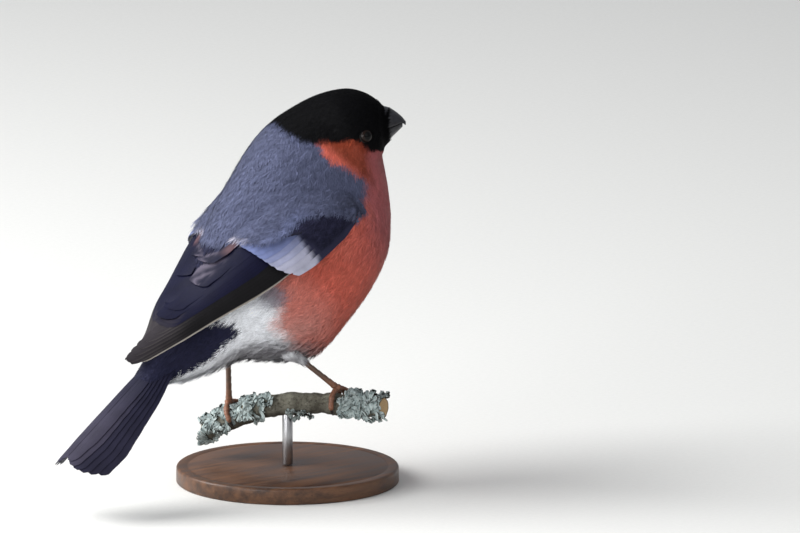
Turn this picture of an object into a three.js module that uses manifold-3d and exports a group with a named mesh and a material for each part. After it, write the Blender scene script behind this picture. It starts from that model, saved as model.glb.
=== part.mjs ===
// Male bullfinch on a cut length of branch, life size, held by a plain display stand.
// Millimetres. The bird faces +X, its left side is +Y and +Z is up. The origin is the centre of
// the base's underside.
import * as THREE from "three";
import { mergeVertices } from "three/addons/utils/BufferGeometryUtils.js";
import Module from "manifold-3d";

// Driving dimensions
const GAP = 0.3; // left between pieces that touch
const FOOTING = 27.5; // height of the branch's top, midway between the feet, above the floor
const TAIL_LENGTH = 63.4;
const WING_LENGTH = 90; // bend of the folded wing to its tip
const EYE_RADIUS = 2.25;
const TARSUS_RADIUS = 0.95;
const TOE_RADIUS = 0.85;
const PERCH_RADIUS = 3.4;
const VANE = 0.5; // thickness of a feather's vane
const HEAD_YAW = -42; // degrees, as the head is turned to the bird's right

const wasm = await Module();
wasm.setup();

const rad = THREE.MathUtils.degToRad;
const lerp = THREE.MathUtils.lerp;
const clamp = THREE.MathUtils.clamp;
const smooth = (x, from, to) => THREE.MathUtils.smoothstep(x, from, to);
const vec = (x, y, z) => new THREE.Vector3(x, y, z);

// Solids

// A three.js geometry as a solid that can be joined and cut.
function solid(geometry) {
  const bare = geometry.index ? geometry.toNonIndexed() : geometry.clone();
  for (const name of Object.keys(bare.attributes)) {
    if (name !== "position") bare.deleteAttribute(name);
  }
  const merged = mergeVertices(bare, 1e-4);
  const made = new wasm.Manifold(
    new wasm.Mesh({
      numProp: 3,
      vertProperties: merged.attributes.position.array,
      triVerts: new Uint32Array(merged.index.array),
    }),
  );
  return made;
}

const union = (solids) => solids.reduce((whole, one) => whole.add(one));

// The largest closed surface of a solid, without what a cut has left loose.
function largest(whole) {
  return whole.decompose().reduce((a, b) => (b.volume() > a.volume() ? b : a));
}

function meshOf(name, whole, material) {
  const out = largest(whole).getMesh();
  const positions = new Float32Array(out.numVert * 3);
  for (let i = 0; i < out.numVert; i++) {
    positions.set(out.vertProperties.subarray(i * out.numProp, i * out.numProp + 3), i * 3);
  }
  const geometry = new THREE.BufferGeometry();
  geometry.setAttribute("position", new THREE.BufferAttribute(positions, 3));
  geometry.setIndex(new THREE.BufferAttribute(new Uint32Array(out.triVerts), 1));
  geometry.computeVertexNormals();
  const mesh = new THREE.Mesh(geometry, material);
  mesh.name = name;
  return mesh;
}

// A closed body from rings of points, each ring running the same way, with a fan at each end.
function loft(rings) {
  const around = rings[0].length;
  const positions = rings.flat().flatMap((p) => [p.x, p.y, p.z]);
  const faces = [];
  const at = (i, j) => i * around + (j % around);
  for (let i = 0; i + 1 < rings.length; i++) {
    for (let j = 0; j < around; j++) {
      faces.push(at(i, j), at(i, j + 1), at(i + 1, j + 1));
      faces.push(at(i, j), at(i + 1, j + 1), at(i + 1, j));
    }
  }
  for (const [i, turned] of [[0, false], [rings.length - 1, true]]) {
    const middle = rings[i].reduce((sum, p) => sum.add(p), vec(0, 0, 0)).divideScalar(around);
    const hub = positions.length / 3;
    positions.push(middle.x, middle.y, middle.z);
    for (let j = 0; j < around; j++) {
      if (turned) faces.push(hub, at(i, j), at(i, j + 1));
      else faces.push(hub, at(i, j + 1), at(i, j));
    }
  }
  const geometry = new THREE.BufferGeometry();
  geometry.setAttribute("position", new THREE.Float32BufferAttribute(positions, 3));
  geometry.setIndex(faces);
  return outward(geometry);
}

// Turns a closed geometry's faces round if they point inwards.
function outward(geometry) {
  const p = geometry.attributes.position;
  const index = geometry.index.array;
  const corner = [vec(0, 0, 0), vec(0, 0, 0), vec(0, 0, 0)];
  let volume = 0;
  for (let i = 0; i < index.length; i += 3) {
    corner.forEach((c, k) => c.fromBufferAttribute(p, index[i + k]));
    volume += corner[0].dot(corner[1].clone().cross(corner[2]));
  }
  if (volume < 0) {
    const turned = [];
    for (let i = 0; i < index.length; i += 3) turned.push(index[i], index[i + 2], index[i + 1]);
    geometry.setIndex(turned);
  }
  return geometry;
}

// A round tube along a list of points with a radius at each, as rings that don't twist.
function tube(points, radii, sides) {
  const curve = new THREE.CatmullRomCurve3(points);
  const steps = radii.length - 1;
  const rings = [];
  let across = null;
  radii.forEach((radius, i) => {
    const u = i / steps;
    const along = curve.getTangent(u);
    if (!across) across = Math.abs(along.z) < 0.9 ? vec(0, 0, 1) : vec(1, 0, 0);
    across = across.clone().addScaledVector(along, -across.dot(along)).normalize();
    const third = along.clone().cross(across);
    const centre = curve.getPoint(u);
    rings.push(
      Array.from({ length: sides }, (_, k) => {
        const t = (2 * Math.PI * k) / sides;
        return centre
          .clone()
          .addScaledVector(across, radius * Math.cos(t))
          .addScaledVector(third, radius * Math.sin(t));
      }),
    );
  });
  return solid(loft(rings));
}

// A smooth value at x through a few stations, each [x, value].
function through(stations, x) {
  const last = stations.length - 1;
  let i = 0;
  while (i < last - 1 && x > stations[i + 1][0]) i++;
  const [x0, v0] = stations[i];
  const [x1, v1] = stations[i + 1];
  const slope = (j) => {
    const a = stations[Math.max(j - 1, 0)];
    const b = stations[Math.min(j + 1, last)];
    return (b[1] - a[1]) / (b[0] - a[0]);
  };
  const span = x1 - x0;
  const t = clamp((x - x0) / span, 0, 1);
  const eased = t * t * (3 - 2 * t);
  const leaving = t * (1 - t) ** 2 * span * slope(i);
  const arriving = t * t * (t - 1) * span * slope(i + 1);
  return lerp(v0, v1, eased) + leaving + arriving;
}

// Body: cross-sections from the root of the tail to the bill, in the bird's own frame, whose
// origin is the top of the branch midway between the feet. Each gives its topmost point on the
// back, its lowest on the belly, and its half-width over the back and over the belly.
const SECTIONS = [
  { name: "tail root", back: [-45, 27], belly: [-47, 10], wide: [6.5, 7] },
  { name: "vent", back: [-42.5, 32.5], belly: [-36.1, 11.6], wide: [10, 11] },
  { name: "rump", back: [-38.5, 39.5], belly: [-23.7, 14.3], wide: [13, 15.3] },
  { name: "loins", back: [-34, 46.5], belly: [-9.5, 12.3], wide: [15.6, 20.2] },
  { name: "back", back: [-28.5, 54.5], belly: [4.5, 11.5], wide: [18, 23.4] },
  { name: "belly", back: [-22.5, 62.5], belly: [15.5, 19.4], wide: [20.3, 24.3] },
  { name: "breast", back: [-16, 70], belly: [25.3, 29.5], wide: [21.8, 25.4] },
  { name: "shoulders", back: [-9.5, 77], belly: [31.6, 40], wide: [21.6, 25] },
  { name: "neck base", back: [-2.5, 83.2], belly: [34, 51.5], wide: [19.4, 21.3] },
  { name: "neck", back: [5, 87.8], belly: [33.8, 60], wide: [16.2, 17.4] },
  { name: "occiput", back: [12.2, 91.3], belly: [33, 66], wide: [13.2, 14] },
  { name: "crown", back: [19.5, 93.1], belly: [32.2, 69.6], wide: [11.8, 12] },
  { name: "eyes", back: [25, 92.4], belly: [31.8, 72.2], wide: [9.9, 10.3] },
  { name: "lores", back: [29.4, 90.2], belly: [32.3, 74], wide: [7.5, 8.1] },
  { name: "face", back: [32.2, 87.4], belly: [32.6, 75.8], wide: [4.6, 5.4] },
];
const station = (name) => SECTIONS.findIndex((s) => s.name === name);
const HEAD_PIVOT = vec(12, 0, 72);
const UP = vec(0, 0, 1);
const FULLNESS = 2.15; // 2 is an ellipse, more is squarer

const column = (pick) => SECTIONS.map((s, i) => [i, pick(s)]);
const COLUMNS = {
  backX: column((s) => s.back[0]),
  backZ: column((s) => s.back[1]),
  bellyX: column((s) => s.belly[0]),
  bellyZ: column((s) => s.belly[1]),
  wideBack: column((s) => s.wide[0]),
  wideBelly: column((s) => s.wide[1]),
};

// Turns a point of the straight bird with the head, by the share that its station takes.
function turnHead(point, share) {
  const turned = point.clone().sub(HEAD_PIVOT).applyAxisAngle(UP, rad(HEAD_YAW) * share);
  return turned.add(HEAD_PIVOT);
}
const headShare = (s) => smooth(s, station("breast"), station("crown"));

// A point on the body at station s and angle t, 0 on the back and a quarter turn on the left.
function bodyPoint(s, t, grow = 0) {
  const value = (name) => through(COLUMNS[name], s);
  const top = vec(value("backX"), 0, value("backZ"));
  const bottom = vec(value("bellyX"), 0, value("bellyZ"));
  const centre = top.clone().add(bottom).multiplyScalar(0.5);
  const up = top.clone().sub(bottom);
  const high = up.length() / 2 + grow;
  up.normalize();
  const c = Math.cos(t);
  const d = Math.sin(t);
  const wide = lerp(value("wideBelly"), value("wideBack"), smooth(c, -0.9, 0.9)) + grow;
  const full = (x) => Math.sign(x) * Math.abs(x) ** (2 / FULLNESS);
  const local = centre.addScaledVector(up, high * full(c)).add(vec(0, wide * full(d), 0));
  return turnHead(local, headShare(s));
}

const AROUND = 32; // points round each ring of the body

// A length of the body between two stations, thicker all round by grow.
function bodyPiece(from, to, rings, grow = 0) {
  const sections = Array.from({ length: rings + 1 }, (_, i) => {
    const s = lerp(from, to, i / rings);
    return Array.from({ length: AROUND }, (_, j) => bodyPoint(s, (2 * Math.PI * j) / AROUND, grow));
  });
  const middle = (ring) => ring.reduce((sum, p) => sum.add(p), vec(0, 0, 0)).divideScalar(AROUND);
  const start = middle(sections[0]).sub(middle(sections[1])).setLength(grow);
  const end = middle(sections[rings]).sub(middle(sections[rings - 1])).setLength(grow);
  sections[0].forEach((p) => p.add(start));
  sections[rings].forEach((p) => p.add(end));
  return solid(loft(sections));
}

const TAIL_END = 0;
const BILL_END = SECTIONS.length - 1;
const NECK_CUT = station("neck base") + 0.3;
const HEAD_CUT = station("occiput") - 0.35;
const CUT = 0.06; // share of a station that leaves the gap between two pieces
const torso = bodyPiece(TAIL_END, NECK_CUT, 22);
const neck = bodyPiece(NECK_CUT + CUT, HEAD_CUT, 6);
const skull = bodyPiece(HEAD_CUT + CUT, BILL_END, 12);
const bodyGrown = bodyPiece(TAIL_END, BILL_END, 36, GAP);

// Places a point that is given in the unturned head's frame.
const onHead = (x, y, z) => turnHead(vec(x, y, z), 1);

// Bill: each half is a run of half rounds from the face to its tip, with a flat biting edge.
// Along the middle of the bill, from the face to the tip: x, ridge, mouth line and lower edge.
const BILL_PROFILE = [
  { x: 30.6, ridge: 87.6, mouth: 80.4, keel: 74.9, wide: 4.7 },
  { x: 32.4, ridge: 87.8, mouth: 81.2, keel: 76, wide: 4.6 },
  { x: 34.2, ridge: 87.2, mouth: 81.9, keel: 77.8, wide: 4.1 },
  { x: 36.2, ridge: 85.9, mouth: 82.5, keel: 79.8, wide: 3 },
  { x: 37.8, ridge: 84.5, mouth: 82.9, keel: 81.4, wide: 1.8 },
  { x: 38.9, ridge: 83.2, mouth: 82, keel: 82.2, wide: 0.7 },
];
const MOUTH_LINE = 0.15; // half the slit between the two halves
const LOWER_SHARE = 0.94; // the lower half's width against the upper's
const BILL_SIDES = 12;
const BILL_FULLNESS = 0.85; // the power of the half round, 1 is a half ellipse

function billHalf(upper) {
  const stops = upper ? BILL_PROFILE : BILL_PROFILE.slice(0, -1);
  const rings = stops.map(({ x, ridge, mouth, keel, wide }) => {
    const edge = upper ? mouth + MOUTH_LINE : mouth - MOUTH_LINE;
    const high = upper ? ridge - edge : keel - edge;
    const broad = upper ? wide : wide * LOWER_SHARE;
    return Array.from({ length: BILL_SIDES + 1 }, (_, k) => {
      const t = (Math.PI * k) / BILL_SIDES;
      return onHead(x, broad * Math.cos(t), edge + high * Math.sin(t) ** BILL_FULLNESS);
    });
  });
  return solid(loft(rings));
}

const NOSTRIL = { x: 34.2, y: 2.5, z: 86.2, radius: 0.45 };

function nostrils() {
  const pits = [-1, 1].map((side) => {
    const pit = new THREE.SphereGeometry(NOSTRIL.radius, 10, 8);
    return solid(pit.translate(...onHead(NOSTRIL.x, NOSTRIL.y * side, NOSTRIL.z)));
  });
  return union(pits);
}

// Eyes: balls in sockets of the head, with a raised lid round each. A place is a station and
// a turn round the head, and the ball's centre lies below the skin there.
const EYE = { station: station("crown") + 0.5, turn: 95, depth: 1.6 };
const LID = { radius: 2.2, thick: 0.5, rise: 1.65 };

function eyeParts(side) {
  const turn = rad(EYE.turn) * side;
  const near = 0.1;
  const skin = (ahead, above) => bodyPoint(EYE.station + ahead * near, turn + above * near * side);
  const along = skin(1, 0).sub(skin(-1, 0));
  const around = skin(0, 1).sub(skin(0, -1));
  const outward = along.cross(around).multiplyScalar(side).normalize();
  const centre = skin(0, 0).addScaledVector(outward, -EYE.depth);
  const facing = new THREE.Quaternion().setFromUnitVectors(UP, outward);
  const place = (geometry) => solid(geometry.applyQuaternion(facing).translate(...centre));
  return {
    ball: place(new THREE.SphereGeometry(EYE_RADIUS, 20, 12)),
    socket: place(new THREE.SphereGeometry(EYE_RADIUS + GAP, 20, 12)),
    lid: place(new THREE.TorusGeometry(LID.radius, LID.thick, 6, 22).translate(0, 0, LID.rise)),
  };
}

// Feathers

// A vane from a function that places (along, across, height), where along runs 0 to 1 from
// the root, across runs -1 to 1 over the vane and height is millimetres off its own sheet.
function vane(place, rows, outline) {
  const rings = rows.map((u) => {
    const { inner, outer } = outline(u);
    const half = VANE / 2;
    const thin = half * lerp(1, 0.6, smooth(u, 0.8, 1));
    return [
      place(u, -outer, thin),
      place(u, 0, thin * 1.25),
      place(u, inner, thin),
      place(u, inner, -thin),
      place(u, 0, -thin * 1.1),
      place(u, -outer, -thin),
    ];
  });
  return strip(rings);
}

// A closed body from rings of six, three over and three under, split alike on both faces.
function strip(rings) {
  const positions = rings.flat().flatMap((p) => [p.x, p.y, p.z]);
  const faces = [];
  const at = (i, j) => i * 6 + j;
  const quad = (a, b, c, d) => faces.push(a, b, c, a, c, d);
  const last = rings.length - 1;
  for (let i = 0; i < last; i++) {
    quad(at(i, 0), at(i, 1), at(i + 1, 1), at(i + 1, 0));
    quad(at(i, 1), at(i, 2), at(i + 1, 2), at(i + 1, 1));
    quad(at(i, 2), at(i, 3), at(i + 1, 3), at(i + 1, 2));
    quad(at(i + 1, 4), at(i + 1, 3), at(i, 3), at(i, 4));
    quad(at(i + 1, 5), at(i + 1, 4), at(i, 4), at(i, 5));
    quad(at(i, 5), at(i, 0), at(i + 1, 0), at(i + 1, 5));
  }
  for (const [i, turned] of [[0, true], [last, false]]) {
    for (const [a, b, c, d] of [[0, 1, 4, 5], [1, 2, 3, 4]]) {
      if (turned) quad(at(i, d), at(i, c), at(i, b), at(i, a));
      else quad(at(i, a), at(i, b), at(i, c), at(i, d));
    }
  }
  const geometry = new THREE.BufferGeometry();
  geometry.setAttribute("position", new THREE.Float32BufferAttribute(positions, 3));
  geometry.setIndex(faces);
  return solid(outward(geometry));
}

const VANE_ROWS = [0, 0.3, 0.62, 0.88, 1];

// Half-widths of a feather along its length, from a quill to a blunt tip.
function featherOutline(wide, outerShare, tip) {
  return (u) => {
    const grown = lerp(0.35, 1, smooth(u, 0, 0.35));
    const rounded = lerp(1, tip, smooth(u, 0.8, 1));
    const both = wide * grown * rounded;
    return { outer: both * outerShare, inner: both * (1 - outerShare) };
  };
}

// Wings: the folded wing lies on a half cone that narrows from the shoulder to the wing tip.
// p is millimetres from the wing's bend towards its tip, q millimetres up from its lower edge
// and h millimetres off the cone.
const WING_AXIS = { front: vec(12, 0, 52), rear: vec(-66, 0, 12) };
const WING_CONE = {
  wide: [[0, 20.5], [30, 21.8], [60, 11.8], [92, 2.6]],
  high: [[0, 27], [30, 20.5], [60, 6.5], [92, 2.4]],
  lift: [[0, 0], [30, 0], [60, 3], [92, 5]],
  lowest: [[0, 79], [30, 77], [60, 77], [92, 84]],
};
const wingAlong = WING_AXIS.rear.clone().sub(WING_AXIS.front).normalize();
const wingUp = vec(wingAlong.z, 0, -wingAlong.x);

function wingPoint(p, q, h, { side, shift, bend }) {
  const wide = through(WING_CONE.wide, p);
  const high = through(WING_CONE.high, p);
  const turn = rad(through(WING_CONE.lowest, p)) - q / ((wide + high) / 2 + 1.5);
  return WING_AXIS.front
    .clone()
    .addScaledVector(wingAlong, p * (WING_AXIS.front.distanceTo(WING_AXIS.rear) / WING_LENGTH))
    .addScaledVector(wingUp, through(WING_CONE.lift, p) + (high + h) * Math.cos(turn))
    .add(vec(0, side * (wide + h) * Math.sin(turn), 0))
    .addScaledVector(shift, smooth(p, ...bend));
}

// A feather of the wing between two (p, q) places, at height h on its shaft. Each leans, so
// that its lower edge lies over the next feather down and its upper edge under the next one up.
function wingFeather({ root, tip, wide, outer, blunt, h, lean }, pose) {
  const tipP = root[0] + (tip[0] - root[0]) * pose.reach;
  const place = (u, across, height) => {
    const q = lerp(root[1], tip[1], u) + across;
    const off = lerp(h[0], h[1], u) - lean * across + height;
    return wingPoint(lerp(root[0], tipP, u), q, off, pose);
  };
  return vane(place, VANE_ROWS, featherOutline(wide, outer, blunt));
}

// Rows of flight feathers, each from its outermost in, with the (p, q) place of every tip. The
// roots start at root and step up from q, outer is the outer web's share of the width, blunt is
// how wide the tip still is, and h is the height off the cone at the root and at the tip.
const FLIGHT_ROWS = {
  primaries: {
    tips: [[84, 1], [87.5, 2.4], [84.5, 4.1], [79.5, 5.7], [74, 7]],
    roots: { p: 25, q: 1.6, step: 1.8 },
    wide: 4.8,
    outer: 0.34,
    blunt: 0.6,
    h: [0.9, 1.3],
    lean: 0.55,
  },
  secondaries: {
    tips: [[69.5, 7.8], [66.5, 9], [63.5, 10]],
    roots: { p: 25, q: 9.6, step: 2.2 },
    wide: 5.6,
    outer: 0.4,
    blunt: 0.55,
    h: [0.9, 1.5],
    lean: 0.55,
  },
  tertials: {
    tips: [[60, 11.2], [53.5, 13.2], [45, 18.6]],
    roots: { p: 26, q: 15.8, step: 3.1 },
    wide: 7,
    outer: 0.45,
    blunt: 0.5,
    h: [0.4, 1.6],
    lean: 0.42,
  },
};

function flightFeathers(pose) {
  return Object.values(FLIGHT_ROWS).flatMap((row) =>
    row.tips.map((tip, i) => {
      const root = [row.roots.p, row.roots.q + row.roots.step * i];
      return wingFeather({ ...row, root, tip }, pose);
    }),
  );
}

// Greater coverts, from the lowest to the highest: each value runs between the two it gives.
const COVERTS = {
  count: 7,
  root: { p: [2, 24], q: [1.7, 17], h: [3.5, 1.8] },
  tip: { p: [31.5, 38.5], q: [1.7, 16.6], h: [4, 2.4] },
  wide: 5.4,
  outer: 0.45,
  blunt: 0.5,
  lean: 0.34,
};

function covertFeathers(pose) {
  return Array.from({ length: COVERTS.count }, (_, i) => {
    const u = i / (COVERTS.count - 1);
    const bowed = smooth(u, -0.1, 0.9);
    const root = [lerp(...COVERTS.root.p, u), lerp(...COVERTS.root.q, u)];
    const tip = [lerp(...COVERTS.tip.p, bowed), lerp(...COVERTS.tip.q, u)];
    const h = [lerp(...COVERTS.root.h, u), lerp(...COVERTS.tip.h, u)];
    return wingFeather({ ...COVERTS, root, tip, h }, pose);
  });
}

// A plate of the wing over a range of p and q, between height low and a height that varies.
function wingPlate({ from, to, q0, q1, low, high, rows, columns }, pose) {
  const grid = (top) => {
    const points = [];
    for (let i = 0; i <= rows; i++) {
      for (let j = 0; j <= columns; j++) {
        const u = i / rows;
        const v = j / columns;
        const p = lerp(from, to(v), u);
        points.push(wingPoint(p, lerp(q0, q1, v), top ? high(u, v) : low, pose));
      }
    }
    return points;
  };
  const under = grid(false);
  const over = grid(true);
  const positions = [...under, ...over].flatMap((p) => [p.x, p.y, p.z]);
  const lift = under.length;
  const at = (i, j) => i * (columns + 1) + j;
  const faces = [];
  const quad = (a, b, c, d) => faces.push(a, b, c, a, c, d);
  for (let i = 0; i < rows; i++) {
    for (let j = 0; j < columns; j++) {
      quad(at(i, j), at(i + 1, j), at(i + 1, j + 1), at(i, j + 1));
      quad(lift + at(i, j), lift + at(i, j + 1), lift + at(i + 1, j + 1), lift + at(i + 1, j));
    }
    quad(at(i, 0), lift + at(i, 0), lift + at(i + 1, 0), at(i + 1, 0));
    quad(at(i + 1, columns), lift + at(i + 1, columns), lift + at(i, columns), at(i, columns));
  }
  for (let j = 0; j < columns; j++) {
    quad(at(0, j + 1), lift + at(0, j + 1), lift + at(0, j), at(0, j));
    quad(at(rows, j), lift + at(rows, j), lift + at(rows, j + 1), at(rows, j + 1));
  }
  const geometry = new THREE.BufferGeometry();
  geometry.setAttribute("position", new THREE.Float32BufferAttribute(positions, 3));
  geometry.setIndex(faces);
  return solid(outward(geometry));
}

// How the wings are held: their side, how far the tips reach, how far these are shifted and
// between which two places along the wing that shift comes in.
const WINGS = {
  left: { side: 1, reach: 0.95, shift: vec(1.5, -2.6, -2.6), bend: [57, 75] },
  right: { side: -1, reach: 1, shift: vec(0, -1.2, 0), bend: [5, 85] },
};
// The arm that the flight feathers are rooted in.
const ARM = {
  from: -3,
  to: () => 31,
  q0: 0.6,
  q1: 19,
  low: -3.5,
  high: (u, v) => lerp(2.6, 1.1, v),
  rows: 6,
  columns: 6,
};
// The lesser coverts and shoulder feathers, thinning out to every side but the lower edge.
const SHIELD = {
  from: -6,
  to: (v) => lerp(1, 37, smooth(v, -0.15, 0.68)) + 4 * smooth(v, 0.6, 1),
  q0: 0,
  q1: 26,
  low: -1,
  high: (u, v) => {
    const front = smooth(u, -0.05, 0.4);
    const below = lerp(0.7, 1, smooth(v, 0, 0.12));
    const above = 2 * smooth(v, 0.25, 0.6) + 2 * smooth(v, 0.6, 1);
    return 1 + (4.4 - above - 0.7 * smooth(u, 0.4, 1) * smooth(v, 0.3, 0.6)) * front * below;
  },
  rows: 12,
  columns: 12,
};

function wing(pose) {
  const plates = [wingPlate(ARM, pose), wingPlate(SHIELD, pose)];
  const feathers = [...flightFeathers(pose), ...covertFeathers(pose)];
  return union([...plates, ...feathers]).subtract(bodyGrown);
}

// Tail: a shallow arch of feathers, each pair lying under the one nearer the middle.
// p is millimetres from the root along the tail, y across it and h up from its sheet.
const TAIL_ROOT = vec(-45.8, 0, 19.8);
const TAIL_PITCH = 36;
const tailAlong = vec(-Math.cos(rad(TAIL_PITCH)), 0, -Math.sin(rad(TAIL_PITCH)));
const tailUp = vec(tailAlong.z, 0, -tailAlong.x);
const TAIL_BURIED = 13; // how much of each feather the torso hides
const TAIL_ARCH = 0.035;
const RECTRICES = {
  pairs: 5,
  top: 1.7, // height of the middle pair
  step: 0.85, // from each pair down to the next
  root: 0.8,
  shaftRoot: [0.9, 0.7], // the middle pair's place across the tail, and the step to the next
  shaftTip: [1.9, 1.85],
  outer: 3,
  inner: 4.6,
  rounding: 0.55, // how fast the pairs fall short of the longest ones
  longest: 1.5,
};
const TAIL_CORE = { length: 21, wide: [6.4, 3.8], high: [7.2, 1.4], drop: [0.6, 1.7], sides: 18 };

function tailPoint(p, y, h) {
  const arched = h - TAIL_ARCH * y * y;
  const onSheet = TAIL_ROOT.clone().addScaledVector(tailAlong, p).add(vec(0, y, 0));
  return onSheet.addScaledVector(tailUp, arched);
}

function tailFeather(side, i) {
  const { shaftRoot, shaftTip } = RECTRICES;
  const length = TAIL_LENGTH - TAIL_BURIED - RECTRICES.rounding * (i - RECTRICES.longest) ** 2;
  const shaft = (u) => lerp(shaftRoot[0] + shaftRoot[1] * i, shaftTip[0] + shaftTip[1] * i, u);
  const outline = (u) => {
    const grown = lerp(0.5, 1, smooth(u, 0, 0.4)) * lerp(1, 0.5, smooth(u, 0.82, 1));
    const inner = Math.min(RECTRICES.inner * grown, shaft(u) - GAP / 2);
    return { outer: RECTRICES.outer * grown, inner };
  };
  const place = (u, across, height) => {
    const y = side * (shaft(u) - across);
    return tailPoint(RECTRICES.root + u * length, y, RECTRICES.top - RECTRICES.step * i + height);
  };
  return vane(place, VANE_ROWS, outline);
}

// The muscle and small coverts that the tail feathers are rooted in.
function tailCore() {
  const steps = 7;
  const rings = Array.from({ length: steps + 1 }, (_, i) => {
    const u = i / steps;
    const p = GAP + u * TAIL_CORE.length;
    const wide = lerp(...TAIL_CORE.wide, u);
    const high = lerp(...TAIL_CORE.high, u ** 0.8);
    const drop = lerp(...TAIL_CORE.drop, u);
    return Array.from({ length: TAIL_CORE.sides }, (_, k) => {
      const t = (2 * Math.PI * k) / TAIL_CORE.sides;
      return tailPoint(p, wide * Math.sin(t), high * Math.cos(t) - drop);
    });
  });
  return solid(loft(rings));
}

function tail() {
  const feathers = [];
  for (const side of [-1, 1]) {
    for (let i = 0; i < RECTRICES.pairs; i++) feathers.push(tailFeather(side, i));
  }
  return union([tailCore(), ...feathers]).subtract(bodyGrown);
}

// Branch: its top line in the plane of its heading, as [distance from its middle, height], and
// how far along it each foot grips.
const PERCH_LINE = [[-28, -11.4], [-20, -6.9], [-10, -2.5], [0, 0], [10, 1.2], [20, 1.8], [33, 2.1]];
const PERCH_HEADING = vec(0.385, -0.923, 0);
const PERCH_SIDES = 14;
const PERCH_RINGS = 18;
const GRIP = 17.6;

function perchPoint(q) {
  const z = through(PERCH_LINE, q) - PERCH_RADIUS;
  return PERCH_HEADING.clone().multiplyScalar(q).add(vec(0, 0, z));
}

// The branch's direction at q, with the level and upward directions across it.
function perchFrame(q) {
  const along = perchPoint(q + 0.5).sub(perchPoint(q - 0.5)).normalize();
  const level = vec(along.y, -along.x, 0).normalize();
  return { along, level, up: level.clone().cross(along).normalize() };
}

function perchSolid(grow = 0, stretch = 0) {
  const first = PERCH_LINE[0][0] - stretch;
  const last = PERCH_LINE[PERCH_LINE.length - 1][0] + stretch;
  const rings = Array.from({ length: PERCH_RINGS + 1 }, (_, i) => {
    const q = lerp(first, last, i / PERCH_RINGS);
    const { level, up } = perchFrame(q);
    const lumps = 1 + 0.05 * Math.sin(q * 0.9) + 0.04 * Math.sin(q * 0.37 + 1);
    const radius = PERCH_RADIUS * lumps + grow;
    return Array.from({ length: PERCH_SIDES }, (_, k) => {
      const t = (2 * Math.PI * k) / PERCH_SIDES;
      return perchPoint(q)
        .addScaledVector(level, radius * Math.cos(t))
        .addScaledVector(up, radius * Math.sin(t));
    });
  });
  return solid(loft(rings));
}

// Legs: each foot's place on the branch, and the point inside the belly that its leg rises to.
const LEGS = {
  left: { grip: -GRIP, ankle: vec(-13.6, 12, 16) },
  right: { grip: GRIP, ankle: vec(-9.5, -12.2, 16.8) },
};
// Toes: where they start and end round the branch, in radians forward from its top, how far
// they spread along it, and their thickness.
const TOES = [
  { turn: [0.1, 2.1], spread: -2.6, thick: 0.92 },
  { turn: [0.1, 2.35], spread: 0.1, thick: 1 },
  { turn: [0.1, 2.1], spread: 2.7, thick: 0.92 },
  { turn: [-0.1, -2.2], spread: 0, thick: 1.05 },
];
const TOE_JOINTS = [1, 0.98, 0.92, 1, 0.86, 0.92, 0.7, 0.28]; // thickness along a toe to the claw
const TOE_ARCH = 0.25;
const SHIN_JOINTS = [1, 0.95, 0.9, 1, 1.25]; // thickness from the foot up
const STUMP = { down: 0.9, up: 1.5, radii: [1.15, 1.35, 1] }; // the ball that the toes grow from

function legParts({ grip, ankle }) {
  const middle = perchPoint(grip);
  const { along, level, up } = perchFrame(grip);
  const around = (turn, radius, shift) =>
    middle
      .clone()
      .addScaledVector(level, -radius * Math.sin(turn))
      .addScaledVector(up, radius * Math.cos(turn))
      .addScaledVector(along, shift);
  const grasp = PERCH_RADIUS * 1.09 + TOE_RADIUS + GAP;
  const root = around(-0.12, grasp + 0.4, 0);
  const toes = TOES.map(({ turn, spread, thick }) => {
    const points = [0, 0.25, 0.5, 0.75, 1].map((u) => {
      const lift = TOE_ARCH * Math.sin(Math.PI * Math.min(1, u * 1.2));
      return around(lerp(...turn, u), grasp + lift, spread * smooth(u, 0, 0.7));
    });
    return tube(points, TOE_JOINTS.map((r) => r * thick * TOE_RADIUS), 7);
  });
  const shin = ankle.clone().sub(root).normalize();
  const onShin = (distance) => root.clone().addScaledVector(shin, distance);
  const stump = tube([onShin(-STUMP.down), onShin(STUMP.up)], STUMP.radii, 8);
  const tarsus = tube([onShin(STUMP.up + GAP), ankle], SHIN_JOINTS.map((r) => r * TARSUS_RADIUS), 8);
  return {
    foot: union([...toes, stump]).subtract(perchSolid(GAP * 0.8, 2)),
    tarsus: tarsus.subtract(bodyGrown),
  };
}

// Stand
const BASE = { radius: 34, thick: 5, rim: 0.8 };
const ROD_RADIUS = 1.6;

function standBase() {
  const profile = [
    [0, 0],
    [BASE.radius, 0],
    [BASE.radius, BASE.thick - BASE.rim],
    [BASE.radius - BASE.rim, BASE.thick],
    [0, BASE.thick],
  ].map(([x, y]) => new THREE.Vector2(x, y));
  return solid(new THREE.LatheGeometry(profile, 56).rotateX(Math.PI / 2));
}

function standRod() {
  const bottom = BASE.thick + GAP;
  const top = FOOTING + perchPoint(0).z;
  const rod = new THREE.CylinderGeometry(ROD_RADIUS, ROD_RADIUS, top - bottom, 20);
  rod.rotateX(Math.PI / 2).translate(0, 0, (top + bottom) / 2);
  return solid(rod).subtract(perchSolid(GAP).translate([0, 0, FOOTING]));
}

// Assembly
const finish = (color, roughness, metalness = 0) =>
  new THREE.MeshStandardMaterial({ color, roughness, metalness });
const MATERIALS = {
  cap: finish(0x15151a, 0.7),
  neck: finish(0x7a4a48, 0.9),
  torso: finish(0xb8563f, 0.9),
  wing: finish(0x22232f, 0.55),
  tail: finish(0x1c1c28, 0.5),
  bill: finish(0x2a2a2e, 0.35),
  eye: finish(0x0c0908, 0.08),
  leg: finish(0x6b4334, 0.6),
  bark: finish(0x6a6259, 0.95),
  base: finish(0x3a2c22, 0.5),
  rod: finish(0x9a9aa0, 0.3, 1),
};

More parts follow.
